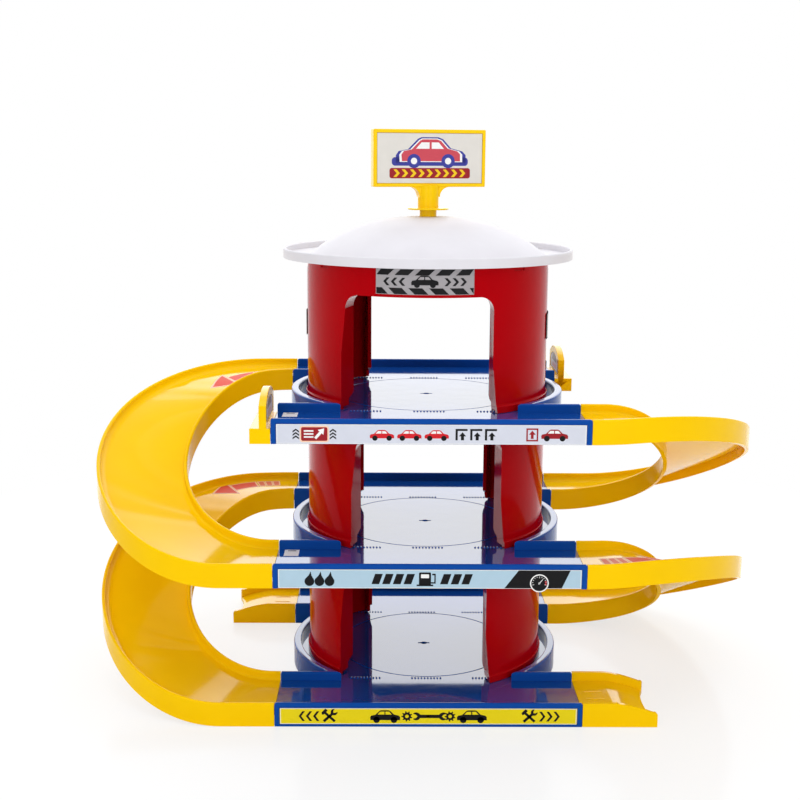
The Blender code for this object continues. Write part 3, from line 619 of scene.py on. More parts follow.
def add_ribs(piece, middles, plan, height):
    """Small ribs with rounded tops, with their feet sunk into the piece."""
    bm = bmesh.new()
    bm.from_mesh(piece.data)
    tall = height + PLATE / 4
    for x, y, z in middles:
        place = Matrix.Translation((x, y, z + height - tall / 2))
        matrix = place @ Matrix.Diagonal((*plan, tall, 1.0))
        made = bmesh.ops.create_cube(bm, size=1.0, matrix=matrix)
        edges = {edge for vert in made["verts"] for edge in vert.link_edges}
        tops = [edge for edge in edges if edge.verts[0].co.z + edge.verts[1].co.z > 2 * z]
        bmesh.ops.bevel(
            bm, geom=tops, offset=height / 2, segments=2, profile=0.5, affect="EDGES", material=-1,
            clamp_overlap=True,
        )
    write_ordered(bm, piece.data)


def parking_ribs(deck, sizes):
    """Groups of short moulded ribs across both strips, three in a row."""
    middles = []
    for row in (-RIB_ROW, RIB_ROW):
        for group in (-RIB_GROUP, 0.0, RIB_GROUP):
            for index in range(sizes.rib_count):
                x = group + (index - (sizes.rib_count - 1) / 2) * RIB_PITCH
                middles.append((x, row, ROAD_Z))
    add_ribs(deck, middles, RIB_PLAN, sizes.rib_height)


def deck_mould(name, label_foot):
    """One deck: walls with rounded tops round the road, hollow below it."""
    sizes = bpy.context.scene.garage_sizes
    deck = prism(name, deck_plan(0.0), 0.0, DECK_HEIGHT)
    boolean(deck, "DIFFERENCE", prism("road", road_plan(), ROAD_Z, DECK_HEIGHT + CUT_OVER))

    def on_top(a, b):
        return min(a.z, b.z) > DECK_HEIGHT - SAME

    round_edges(deck, on_top, sizes.lip_round, 4)
    boolean(deck, "DIFFERENCE", prism("hollow", deck_plan(SKIRT_WALL), -CUT_OVER, ROAD_UNDERSIDE))
    tongues = [deck_tongue(side_x, side_y) for side_x in (-1, 1) for side_y in (-1, 1)]
    boolean(deck, "UNION", *tongues)
    half = GROOVE_WIDTH / 2
    groove = turned("groove", [
        (GROOVE_RADIUS + half, ROAD_Z + half), (GROOVE_RADIUS + half, ROAD_Z),
        (GROOVE_RADIUS, ROAD_Z - half), (GROOVE_RADIUS - half, ROAD_Z),
        (GROOVE_RADIUS - half, ROAD_Z + half),
    ])
    bottom, top = ROAD_UNDERSIDE - CUT_OVER, ROAD_Z + CUT_OVER
    hole = prism("hole", arc((0, 0), KEY_HOLE_RADIUS, 0, 2 * math.pi, 40)[:-1], bottom, top)
    length, width = KEY_SLOT
    slot = block("slot", (-length / 2, -width / 2, bottom), (length / 2, width / 2, top))
    boolean(hole, "UNION", slot)
    boolean(deck, "DIFFERENCE", groove, hole, label_recess(-1, label_foot), label_recess(1, label_foot))
    parking_ribs(deck, sizes)
    return deck


def build_decks():
    plastic = finish_of("deck_plastic")
    feet = (BASE_LABEL_FOOT, -CUT_OVER, -CUT_OVER)
    for level, (name, foot) in enumerate(zip(("base", "middle", "top"), feet)):
        deck = deck_mould(name + "_deck_moulding", foot)
        place = Matrix.Translation((0, 0, level * DECK_PITCH))
        finish(deck, name + "_deck", plastic, place)


# Storeys

def door_outline(foot, head, height, corner):
    """Outline of a doorway that is wider at its foot: (across, up)."""
    spring = height - corner
    outline = [(-foot, -CUT_OVER), (foot, -CUT_OVER)]
    outline += arc((head - corner, spring), corner, 0, math.pi / 2, 14)
    return outline + arc((corner - head, spring), corner, math.pi / 2, math.pi, 14)


def passage(name, margin):
    """The arched way through both sides of a drum, splayed outside the jambs' inner edges."""
    half = DOOR_HALF_WIDTH + margin
    height = DOOR_HEIGHT + margin
    corner = DOOR_CORNER + margin
    inner_radius = DRUM_RADIUS - DRUM_WALL / 2 - JAMB_DEPTH
    inner = math.sqrt(inner_radius ** 2 - DOOR_HALF_WIDTH ** 2)
    face = math.sqrt(DRUM_RADIUS ** 2 - (DOOR_HALF_WIDTH + DOOR_SPLAY_FOOT) ** 2)
    outer = DRUM_RADIUS + FOOT_FLANGE + CUT_OVER
    growth = (outer - inner) / (face - inner)
    straight = door_outline(half, half, height, corner)
    splayed = door_outline(
        half + growth * DOOR_SPLAY_FOOT, half + growth * DOOR_SPLAY_TOP, height, corner
    )
    stations = ((-outer, splayed), (-inner, straight), (inner, straight), (outer, splayed))
    return lofted(name, [[(x, y, z) for x, z in outline] for y, outline in stations])


def door_linings():
    """Plates that line both doorways, cut back at their feet."""
    outer = DRUM_RADIUS - DRUM_WALL / 2
    inner = outer - JAMB_DEPTH
    head = DOOR_HEIGHT + JAMB_WALL
    linings = turned(
        "linings", [(outer, head), (outer, JAMB_LIFT), (inner, JAMB_LIFT), (inner, head)]
    )
    boolean(linings, "INTERSECT", passage("lined", JAMB_WALL))
    cut = inner + JAMB_FOOT_CUT
    slant_top = JAMB_FOOT_HEIGHT + JAMB_FOOT_SLOPE
    foot_cut = turned("foot_cut", [
        (cut, JAMB_FOOT_HEIGHT), (cut, -CUT_OVER), (inner - CUT_OVER, -CUT_OVER),
        (inner - CUT_OVER, slant_top), (inner, slant_top),
    ])
    boolean(linings, "DIFFERENCE", foot_cut)
    return linings


def drum_notch(angle, height):
    """Blind notch in the outside of a drum's top edge."""
    width, drop, depth = NOTCH
    low = (DRUM_RADIUS - depth, -width / 2, height - drop)
    cutter = block("notch", low, (DRUM_RADIUS + CUT_OVER, width / 2, height + CUT_OVER))
    cutter.data.transform(Matrix.Rotation(angle, 4, "Z"))
    return cutter


def drum(name, height):
    """Open drum with a doorway at the front and the back, its foot at height 0."""
    soft = bpy.context.scene.garage_sizes.edge_round
    inner = DRUM_RADIUS - DRUM_WALL
    flange = DRUM_RADIUS + FOOT_FLANGE
    profile = arc((DRUM_RADIUS - soft, height - soft), soft, math.pi / 2, 0, 4)
    profile += [(DRUM_RADIUS, FOOT_HEIGHT + FOOT_FLANGE / 2)]
    profile += arc((flange - soft, FOOT_HEIGHT - FOOT_FLANGE), soft, math.pi / 2, 0, 4)
    profile += [(flange, 0.0), (inner, 0.0), (inner, height)]
    body = turned(name, profile)
    boolean(body, "UNION", door_linings())
    angles = (NOTCH_ANGLE, math.pi - NOTCH_ANGLE, math.pi + NOTCH_ANGLE, -NOTCH_ANGLE)
    notches = [drum_notch(angle, height) for angle in angles]
    boolean(body, "DIFFERENCE", passage("door", 0.0), *notches)
    return body


def build_storeys():
    plastic = finish_of("storey_plastic")
    heights = (STOREY_HEIGHT, STOREY_HEIGHT, UPPER_STOREY_HEIGHT)
    for level, name in enumerate(("lower", "middle", "upper")):
        body = drum("storey_" + name + "_drum", heights[level])
        lift = Matrix.Translation((0, 0, level * DECK_PITCH + STOREY_FOOT))
        place = lift @ Matrix.Rotation(STOREY_TURNS[level], 4, "Z")
        finish(body, "storey_" + name, plastic, place)


# Ramps

def ramp_walls_at(turn):
    """Points on the tops of the inner and the outer wall after a share of the half turn."""
    end = -DECK_LENGTH / 2 - SEAT_GAP
    outer = DECK_DEPTH / 2
    inner = outer - STRIP_WIDTH
    run = max(turn - RAMP_LEVEL_END, 0.0) / (1.0 - RAMP_LEVEL_END)
    middle = DECK_HEIGHT + DECK_PITCH * (1.0 - run * run * (3.0 - 2.0 * run))
    swing, side = math.sin(math.pi * turn), math.cos(math.pi * turn)
    bank = RAMP_BANK / 2 * swing ** 2
    inside = (end - RAMP_INNER_LEAD * turn - RAMP_INNER_REACH * swing, inner * side, middle - bank)
    outside = (end - RAMP_OUTER_LEAD * turn - RAMP_OUTER_REACH * swing, outer * side, middle + bank)
    return Vector(inside), Vector(outside)


def fold_depth(turn, share):
    """How far the road dips at the folds where its slope changes."""
    depth = 0.0
    for start, skew in RAMP_FOLDS:
        depth = max(depth, 1.0 - abs(turn - start - skew * share) / FOLD_REACH)
    return FOLD_DEPTH * depth


def channel_section(width, sizes):
    """Section of a ramp, from the inner wall's outside: (across, up from the wall tops)."""
    wall = RAMP_WALL
    near, far = sizes.inner_fillet, sizes.outer_fillet
    low, high = wall + near, width - wall - far
    crown = arc((wall / 2, -wall / 2), wall / 2, math.pi, 0, 8)
    section = [(0.0, -DECK_HEIGHT)]
    section += crown
    section += arc((low, near - ROAD_DROP), near, math.pi, 1.5 * math.pi, 5)
    section += [(low + (high - low) * step / 12, -ROAD_DROP) for step in range(1, 12)]
    section += arc((high, far - ROAD_DROP), far, 1.5 * math.pi, 2 * math.pi, 8)
    section += [(across + width - wall, up) for across, up in crown]
    section += [(width, -DECK_HEIGHT), (width - wall, -DECK_HEIGHT)]
    section += [(width - wall, -ROAD_DROP - PLATE), (wall, -ROAD_DROP - PLATE)]
    return section + [(wall, -DECK_HEIGHT)]


def ramp_ring(inside, outside, turn):
    """The ramp's section, stood up between two points of its walls' tops."""
    width = (outside - inside).xy.length
    ring = []
    for across, up in channel_section(width, bpy.context.scene.garage_sizes):
        point = inside.lerp(outside, across / width)
        on_road = abs(up + ROAD_DROP) < 1e-6
        dip = fold_depth(turn, across / width) if on_road else 0.0
        ring.append((point.x, point.y, point.z + up - dip))
    return ring


def ramp(name):
    """Half-turn channel from the upper deck's back strip to the lower deck's front one."""
    end = -DECK_LENGTH / 2 - SEAT_GAP
    outer = DECK_DEPTH / 2
    inner = outer - STRIP_WIDTH
    rings = []
    for step in range(RAMP_STEPS + 1):
        turn = step / RAMP_STEPS
        rings.append(ramp_ring(*ramp_walls_at(turn), turn))
    last = Vector((end, -inner, DECK_HEIGHT)), Vector((end, -outer, DECK_HEIGHT))
    return lofted(name, rings + [ramp_ring(*last, 1.0)])


def build_ramps():
    plastic = finish_of("road_plastic")
    for side, turn in (("left", 0.0), ("right", math.pi)):
        for level, lift in (("lower", 0.0), ("upper", DECK_PITCH)):
            node = "ramp_" + side + "_" + level
            place = Matrix.Translation((0, 0, lift)) @ Matrix.Rotation(turn, 4, "Z")
            finish(ramp(node + "_channel"), node, plastic, place)


# Run-off wedges and end stops, modelled at the back left and the front left

UPRIGHT_Y = Matrix.Rotation(math.pi / 2, 4, "X")
UPRIGHT_X = Matrix.Rotation(math.pi / 2, 4, "Z") @ Matrix.Rotation(math.pi / 2, 4, "X")


def side_prism(name, outline, low, high):
    """An outline of (x, z) extruded along Y."""
    return prism(name, outline, -high, -low, UPRIGHT_Y)


def run_off(start_height, end_height, steps=20):
    """Side view of a line that runs level and then falls to the wedge's tip: (length, height)."""
    points = [(0.0, start_height)]
    for step in range(steps + 1):
        share = step / steps
        length = WEDGE_LEVEL + (WEDGE_LENGTH - WEDGE_LEVEL) * share
        points.append((length, start_height + (end_height - start_height) * share ** WEDGE_FALL))
    return points


def wedge(name):
    """Short run-off to the floor, hollow below, with a hollowed tip and two small ribs."""
    sizes = bpy.context.scene.garage_sizes
    start = DECK_LENGTH / 2 + SEAT_GAP
    tip = start + WEDGE_LENGTH
    inner = DECK_DEPTH / 2 - STRIP_WIDTH
    outer = DECK_DEPTH / 2
    crest = [(-start - length, z) for length, z in run_off(DECK_HEIGHT, WEDGE_TIP_WALL)]
    crest = [(x, z) for x, z in crest if x > WEDGE_TIP_ROUND - tip]
    middle = (WEDGE_TIP_ROUND - tip, crest[-1][1] - WEDGE_TIP_ROUND)
    crest += arc(middle, WEDGE_TIP_ROUND, math.pi / 2, math.pi, 6)
    body = side_prism(name, [(-start, 0.0)] + crest + [(-tip, 0.0)], inner, outer)
    above = DECK_HEIGHT + CUT_OVER
    before = start - CUT_OVER
    after = tip + CUT_OVER
    floor = [(-start - length, z) for length, z in run_off(ROAD_Z, WEDGE_TIP_FLOOR)]
    trough = [(-before, above), (-before, ROAD_Z)] + floor[1:]
    trough += [(-after, WEDGE_TIP_FLOOR), (-after, above)]
    low, high = inner + RAMP_WALL, outer - RAMP_WALL
    boolean(body, "DIFFERENCE", side_prism("trough", trough, low, high))

    def on_crest(a, b):
        sides = (inner, low, high, outer)
        aside = max(min(abs(point.y - side) for side in sides) for point in (a, b))
        gentle = abs(a.z - b.z) < abs(a.x - b.x) + SAME
        return min(a.z, b.z) > WEDGE_TIP_WALL - SAME and aside < SAME and gentle

    round_edges(body, on_crest, sizes.edge_round)
    bend = start + TONGUE[0] + SEAT_GAP
    slope = (ROAD_Z - WEDGE_TIP_FLOOR) / (tip - bend)
    cavity_end = start + WEDGE_CAVITY
    cavity = [
        (before, -CUT_OVER), (cavity_end, -CUT_OVER),
        (cavity_end, ROAD_UNDERSIDE - slope * (cavity_end - bend)),
        (bend, ROAD_UNDERSIDE), (before, ROAD_UNDERSIDE),
    ]
    half = STRIP_WIDTH / 2
    radius = (half ** 2 + WEDGE_TIP_HOLLOW ** 2) / (2 * WEDGE_TIP_HOLLOW)
    centre = (-tip + WEDGE_TIP_HOLLOW - radius, STRIP_MIDDLE)
    bite = arc(centre, radius, 0, 2 * math.pi, 360)[:-1]
    boolean(
        body, "DIFFERENCE", side_prism("cavity", [(-x, z) for x, z in cavity], low, high),
        prism("bite", bite, -CUT_OVER, DECK_HEIGHT + CUT_OVER),
    )
    along, aside = WEDGE_RIB_PLACE
    middles = [(-start - along, STRIP_MIDDLE + side * aside, ROAD_Z) for side in (-1, 1)]
    add_ribs(body, middles, WEDGE_RIB_PLAN, WEDGE_RIB_SHARE * sizes.rib_height)
    return body


def panel_outline(inset, foot):
    """Arched panel seen from the road: (across the strip, up)."""
    half = STRIP_WIDTH / 2
    radius = (half ** 2 + STOP_ARCH ** 2) / (2 * STOP_ARCH)
    centre = STOP_SHOULDER + STOP_ARCH - radius
    half -= inset
    radius -= inset
    reach = math.asin(half / radius)
    outline = [(-half, foot), (half, foot)]
    return outline + arc((0, centre), radius, math.pi / 2 - reach, math.pi / 2 + reach, 28)


def cross_prism(name, outline, low, high):
    """An outline of (y, z) extruded along X, in the middle of the front strip."""
    return prism(name, outline, low, high, Matrix.Translation((0, -STRIP_MIDDLE, 0)) @ UPRIGHT_X)


def end_stop(name):
    """Block on the deck's tongue with an arched panel that has a recess for its card."""
    start = DECK_LENGTH / 2 + SEAT_GAP
    inner = DECK_DEPTH / 2 - STRIP_WIDTH
    outer = DECK_DEPTH / 2
    soft = bpy.context.scene.garage_sizes.edge_round
    body = block(name, (-start - STOP_LENGTH, -outer, 0.0), (-start, -inner, STOP_HEIGHT))
    round_edges(body, lambda a, b: min(a.z, b.z) > STOP_HEIGHT - SAME, soft)
    face = start + STOP_PANEL_SETBACK
    panel = cross_prism("panel", panel_outline(0.0, STOP_HEIGHT / 2), -face - STOP_PANEL, -face)
    round_edges(panel, lambda a, b: True, soft)
    boolean(body, "UNION", panel)
    depth = CARD_THICKNESS + CARD_SINK + SEAT_GAP
    recess = cross_prism(
        "recess", panel_outline(STOP_FRAME, STOP_HEIGHT + STOP_FRAME / 2), -face - depth, -face + CUT_OVER
    )
    socket_end = start + TONGUE[0] + RAMP_WALL / 2
    socket = block(
        "socket", (-socket_end, -outer + RAMP_WALL, -CUT_OVER),
        (-start + CUT_OVER, -inner - RAMP_WALL, ROAD_UNDERSIDE),
    )
    boolean(body, "DIFFERENCE", recess, socket)
    return body


def stop_card(name):
    """Printed card in the end stop's recess."""
    face = DECK_LENGTH / 2 + SEAT_GAP + STOP_PANEL_SETBACK + CARD_SINK
    foot = STOP_HEIGHT + STOP_FRAME / 2 + SEAT_GAP
    return cross_prism(
        name, panel_outline(STOP_FRAME + SEAT_GAP, foot), -face - CARD_THICKNESS, -face
    )


def build_ends():
    plastic = finish_of("road_plastic")
    card = finish_of("card")
    top = Matrix.Translation((0, 0, 2 * DECK_PITCH))
    half_turn = Matrix.Rotation(math.pi, 4, "Z")
    for side, turn in (("back", Matrix.Identity(4)), ("front", half_turn)):
        node = "exit_wedge_" + side
        finish(wedge(node + "_moulding"), node, plastic, turn)
    for side, turn in (("front", Matrix.Identity(4)), ("back", half_turn)):
        node = "end_stop_" + side
        finish(end_stop(node + "_moulding"), node, plastic, top @ turn)
        node = "stop_card_" + side
        finish(stop_card(node + "_film"), node, card, top @ turn)


# Lid and sign

def dome_curve(drop, inner_radius, steps):
    """Points down the dome from a radius to its foot, on the surface lowered by the drop."""
    foot_share = (1.0 - drop / DOME_RISE) ** (1.0 / DOME_SWELL)
    foot_radius = DOME_RADIUS * foot_share
    points = []
    for step in range(steps + 1):
        radius = inner_radius + (foot_radius - inner_radius) * step / steps
        fall = DOME_RISE * (radius / DOME_RADIUS) ** DOME_SWELL
        points.append((radius, DOME_TOP_Z - drop - fall))
    return points


def lid(name):
    """Domed lid with a raised rim, a collar inside the drum and a cup for the sign."""
    top = LID_Z + LID_RIM_HEIGHT
    half_rim = LID_RIM_WALL / 2
    crown = arc((LID_RADIUS - half_rim, top - half_rim), half_rim, math.pi, 0, 8)
    bore = SPIGOT_RADIUS + TURN_GAP
    cup_outer = bore + CUP_WALL
    cup_floor = DOME_TOP_Z - CUP_DEPTH
    collar_outer = DRUM_RADIUS - DRUM_WALL - SEAT_GAP
    collar_inner = collar_outer - LID_COLLAR_WALL
    collar_foot = LID_Z - LID_COLLAR_DEPTH
    under = dome_curve(DOME_WALL, cup_outer, 20)
    profile = [(0.0, cup_floor), (bore, cup_floor)]
    profile += dome_curve(0.0, bore, 36)
    profile += [(LID_RADIUS - LID_RIM_WALL, LID_Z + LID_PLATE)]
    profile += crown
    profile += [(LID_RADIUS, LID_Z), (collar_outer, LID_Z), (collar_outer, collar_foot)]
    profile += [(collar_inner, collar_foot), (collar_inner, under[-1][1])]
    profile += [point for point in reversed(under) if point[0] < collar_inner]
    profile += [(cup_outer, cup_floor - CUP_WALL), (0.0, cup_floor - CUP_WALL)]
    return turned(name, profile, closed=False, steps=LID_STEPS)


def sign_board(name):
    """Framed board on a flared neck, with a collar and a spigot below."""
    soft = bpy.context.scene.garage_sizes.edge_round
    collar_z = DOME_TOP_Z + SPIGOT_SHOW
    neck_z = collar_z + COLLAR_THICKNESS
    spigot_foot = DOME_TOP_Z - CUP_DEPTH + SEAT_GAP
    into_board = SIGN_BOARD_Z + SIGN_FRAME / 2
    post = turned("post", [
        (0.0, into_board), (NECK_RADIUS, into_board), (NECK_RADIUS, neck_z + soft),
        (NECK_RADIUS + soft, neck_z), (COLLAR_RADIUS - soft / 2, neck_z),
        (COLLAR_RADIUS, neck_z - soft / 2), (COLLAR_RADIUS, collar_z + soft / 2),
        (COLLAR_RADIUS - soft / 2, collar_z), (SPIGOT_RADIUS, collar_z),
        (SPIGOT_RADIUS, spigot_foot), (0.0, spigot_foot),
    ], closed=False, steps=72)
    half_width = NECK_RADIUS + FLARE_RADIUS
    foot = SIGN_BOARD_Z - FLARE_RADIUS
    outline = arc((half_width, foot), FLARE_RADIUS, math.pi / 2, math.pi, 14)
    outline = [(half_width, into_board)] + outline
    outline += [(-x, z) for x, z in reversed(outline)]
    flare = side_prism("flare", outline, -FLARE_THICKNESS / 2, FLARE_THICKNESS / 2)
    half = SIGN_WIDTH / 2
    front = -SIGN_THICKNESS / 2
    top = SIGN_BOARD_Z + SIGN_HEIGHT
    board = block(name, (-half, front, SIGN_BOARD_Z), (half, -front, top))
    round_edges(board, lambda a, b: True, 2 * soft)
    boolean(board, "UNION", post, flare)
    inset = half - SIGN_FRAME
    recess = block(
        "recess", (-inset, front - CUT_OVER, SIGN_BOARD_Z + SIGN_FRAME),
        (inset, front + CARD_SINK + CARD_THICKNESS + SEAT_GAP, top - SIGN_FRAME),
    )
    boolean(board, "DIFFERENCE", recess)
    return board


def build_lid():
    finish(lid("roof_lid_moulding"), "roof_lid", finish_of("lid_plastic"))


def build_sign():
    turn = Matrix.Rotation(SIGN_TURN, 4, "Z")
    plastic = finish_of("sign_plastic")
    finish(sign_board("sign_board_moulding"), "sign_board", plastic, turn, "sign")
    half = SIGN_WIDTH / 2 - SIGN_FRAME - SEAT_GAP
    front = -SIGN_THICKNESS / 2 + CARD_SINK
    inset = SIGN_FRAME + SEAT_GAP
    low = (-half, front + PRINT_INSET, SIGN_BOARD_Z + inset)
    high = (half, front + CARD_THICKNESS, SIGN_BOARD_Z + SIGN_HEIGHT - inset)
    card = block("sign_face_card", low, high)
    finish(card, "sign_face", finish_of("card"), turn, "sign")
    print_artwork("sign_print_", sign_artwork(), on_sign, "sign")


# Artwork: outlines in millimetres, from the middle of each film

def moved(shape, x, y, scale=1.0, turn=0.0):
    """A shape scaled, turned and put at a place."""
    c, s = math.cos(turn) * scale, math.sin(turn) * scale
    return [(x + c * a - s * b, y + s * a + c * b) for a, b in shape]


def bar(x0, y0, x1, y1, lean=0.0):
    """A bar whose top is shifted by the lean."""
    return [(x0, y0), (x1, y0), (x1 + lean, y1), (x0 + lean, y1)]


def disc(x, y, radius, steps=40):
    """A round outline."""
    return arc((x, y), radius, 0, 2 * math.pi, steps)[:-1]


def rounded_box(x0, y0, x1, y1, radius, steps=6):
    """A box with rounded corners."""
    corners = (
        (x1 - radius, y1 - radius, 0.0), (x0 + radius, y1 - radius, 0.5),
        (x0 + radius, y0 + radius, 1.0), (x1 - radius, y0 + radius, 1.5),
    )
    points = []
    for x, y, start in corners:
        points += arc((x, y), radius, start * math.pi, (start + 0.5) * math.pi, steps)
    return points


def frame_bars(x0, y0, x1, y1, width):
    """The four bars of a thin frame."""
    return [
        bar(x0, y0, x1, y0 + width), bar(x0, y1 - width, x1, y1),
        bar(x0, y0 + width, x0 + width, y1 - width), bar(x1 - width, y0 + width, x1, y1 - width),
    ]


def chevron(x, y, reach, half_height, width):
    """A chevron that points to +X, or to -X with a negative reach."""
    side = math.copysign(width, reach)
    return [
        (x, y - half_height), (x + side, y - half_height), (x + side + reach, y),
        (x + side, y + half_height), (x, y + half_height), (x + reach, y),
    ]


def arrow(length, half_head, half_shaft, head):
    """An arrow from the origin to +X."""
    return [
        (0, -half_shaft), (length - head, -half_shaft), (length - head, -half_head), (length, 0),
        (length - head, half_head), (length - head, half_shaft), (0, half_shaft),
    ]


def gear(radius, depth, teeth):
    """A toothed wheel."""
    points = []
    for index in range(teeth):
        for share, reach in ((0.0, 0), (0.18, 1), (0.42, 1), (0.6, 0)):
            angle = 2 * math.pi * (index + share) / teeth
            points.append(((radius + reach * depth) * math.cos(angle),
                           (radius + reach * depth) * math.sin(angle)))
    return points


def spanner(length, half_shaft, jaw):
    """An open-ended spanner along X, with its jaw at +X."""
    points = [(0.0, -half_shaft), (length - jaw, -half_shaft)]
    points += arc((length, 0.0), jaw, -0.80 * math.pi, -0.22 * math.pi, 8)
    points += [(length + 0.1 * jaw, -0.42 * jaw), (length - 0.3 * jaw, 0.0)]
    points += [(length + 0.1 * jaw, 0.42 * jaw)]
    points += arc((length, 0.0), jaw, 0.22 * math.pi, 0.80 * math.pi, 8)
    return points + [(length - jaw, half_shaft), (0.0, half_shaft)]


def hammer(length, half_shaft, head):
    """A hammer along X, with its head at +X."""
    return [
        (0.0, -half_shaft), (length, -half_shaft), (length, -head), (length + 0.9 * head, -head),
        (length + 0.9 * head, 0.7 * head), (length + 0.3 * head, 1.05 * head), (length, 0.7 * head),
        (length, half_shaft), (0.0, half_shaft),
    ]


def drop(height):
    """A drop with its tip up, standing on the origin."""
    radius = 0.32 * height
    points = arc((0.0, radius), radius, 0.85 * math.pi, 2.15 * math.pi, 18)
    return points + [(0.30 * radius, 0.72 * height), (0.0, height), (-0.30 * radius, 0.72 * height)]


def car_body(length):
    """Side view of a small car, its wheels' middles on the X axis."""
    share = length / 24.0
    points = [
        (-12.0, 0.0), (-12.2, 2.6), (-11.2, 4.0), (-8.0, 4.6), (-4.6, 8.0), (-3.4, 8.6), (2.6, 8.6),
        (4.2, 8.0), (7.0, 5.0), (11.0, 4.0), (12.2, 2.8), (12.2, 0.0),
    ]
    return [(x * share, y * share) for x, y in points]


def car_windows(length):
    """The two panes of the car in side view."""
    share = length / 24.0
    panes = (
        [(-6.2, 4.9), (-3.9, 7.4), (-0.6, 7.4), (-0.6, 4.9)],
        [(0.3, 4.9), (0.3, 7.4), (3.2, 7.4), (5.4, 4.9)],
    )
    return [[(x * share, y * share) for x, y in pane] for pane in panes]


def wheels(length, radius):
    """The car's two wheels, with a radius for a car 24 mm long."""
    share = length / 24.0
    return [disc(x * share, 0.2 * share, radius * share, 24) for x in (-7.0, 7.2)]


def crest_marks(x, half_width, pitch):
    """Three flat chevrons one above the other, pointing up."""
    marks = []
    for row in (-1, 0, 1):
        y = row * pitch - 0.3
        marks.append([
            (x - half_width, y - 0.9), (x, y + 0.5), (x + half_width, y - 0.9),
            (x + half_width, y + 0.1), (x, y + 1.5), (x - half_width, y + 0.1),
        ])
    return marks


def tools(x, y):
    """A spanner and a hammer, crossed."""
    return [
        moved(spanner(8.8, 0.85, 2.1), x - 3.4, y - 3.4, turn=0.76),
        moved(hammer(8.0, 0.8, 2.1), x + 3.4, y - 3.4, turn=math.pi - 0.76),
    ]


def car(x, y, length, radius):
    """A car's body, its windows and its wheels, each moved to its place."""
    body = moved(car_body(length), x, y)
    panes = [moved(pane, x, y) for pane in car_windows(length)]
    return body, panes, [moved(wheel, x, y) for wheel in wheels(length, radius)]


def base_artwork():
    """Workshop strip: chevrons and crossed tools at the ends, gears, spanners and cars between."""
    black = [chevron(x, 0, -2.3, 3.2, 1.6) for x in (-66.6, -71.0, -75.4)]
    black += [chevron(x, 0, 2.3, 3.2, 1.6) for x in (67.6, 72.0, 76.4)]
    black += tools(-60.6, 0.0) + tools(61.6, 0.0)
    holes = []
    for side in (-1, 1):
        body, panes, rims = car(side * 26.5, -2.5, 18.0, 2.7)
        black += [body] + rims
        holes += panes
        black.append(moved(gear(2.5, 0.9, 9), side * 13.2, 0.0, turn=0.2))
        holes.append(disc(side * 13.2, 0.0, 1.1, 24))
    black.append(moved(spanner(10.0, 1.1, 2.6), -1.0, 0.0))
    black.append(moved(spanner(8.0, 1.1, 2.6), 0.5, 0.0, turn=math.pi))
    edge = frame_bars(-90.5, -5.1, 90.5, 5.1, 0.35)
    return [(0, "ink_white", edge), (1, "ink_black", black), (2, "film_yellow", holes)]


def middle_artwork():
    """Fuel strip: drops, a pump between slanted bars and a dial on a dark slanted panel."""
    black = [moved(drop(9.2), x, -4.5, turn=-0.12) for x in (-72.4, -66.4, -60.4)]
    black += [bar(-35.0 + 6.4 * k, -3.2, -30.4 + 6.4 * k, 3.2, 2.2) for k in range(4)]
    black += [rounded_box(-6.6, -3.8, 0.6, 4.2, 0.7), bar(-8.0, -4.4, 2.0, -3.4)]
    black += [bar(0.6, -2.8, 3.4, -1.9), bar(2.6, -1.9, 3.4, 2.6), bar(1.3, 2.4, 3.4, 3.4)]
    black += [bar(6.0 + 6.4 * k, -3.2, 10.6 + 6.4 * k, 3.2, 2.2) for k in range(3)]
    panel = [[(44.6, -5.6), (79.0, -5.6), (84.0, 5.6), (53.0, 5.6)]]
    dial = (65.5, -2.4)
    white = [rounded_box(-5.4, 0.6, -0.6, 3.0, 0.4), disc(*dial, 5.6, 48)]
    ticks = [disc(*dial, 4.9, 48)]
    marks = []
    for index in range(11):
        angle = math.radians(195 - 21 * index)
        long = 1.2 if index % 5 == 0 else 0.7
        marks.append(moved(bar(-0.14, 4.4 - long, 0.14, 4.4), *dial, turn=angle - math.pi / 2))
    marks += [moved([(-0.35, -0.8), (0.35, -0.8), (0.1, 3.6), (-0.1, 3.6)], *dial, turn=-0.7)]
    marks += [disc(*dial, 0.6, 20)]
    red = [moved(bar(-0.4, 3.4, 0.4, 4.5), *dial, turn=math.radians(a)) for a in (-78, -98)]
    edge = frame_bars(-90.5, -5.8, 90.5, 5.8, 0.35)
    return [
        (0, "ink_white", edge), (1, "ink_black", black + panel), (2, "ink_white", white),
        (3, "ink_black", ticks), (4, "ink_white", marks), (5, "ink_red", red),
    ]


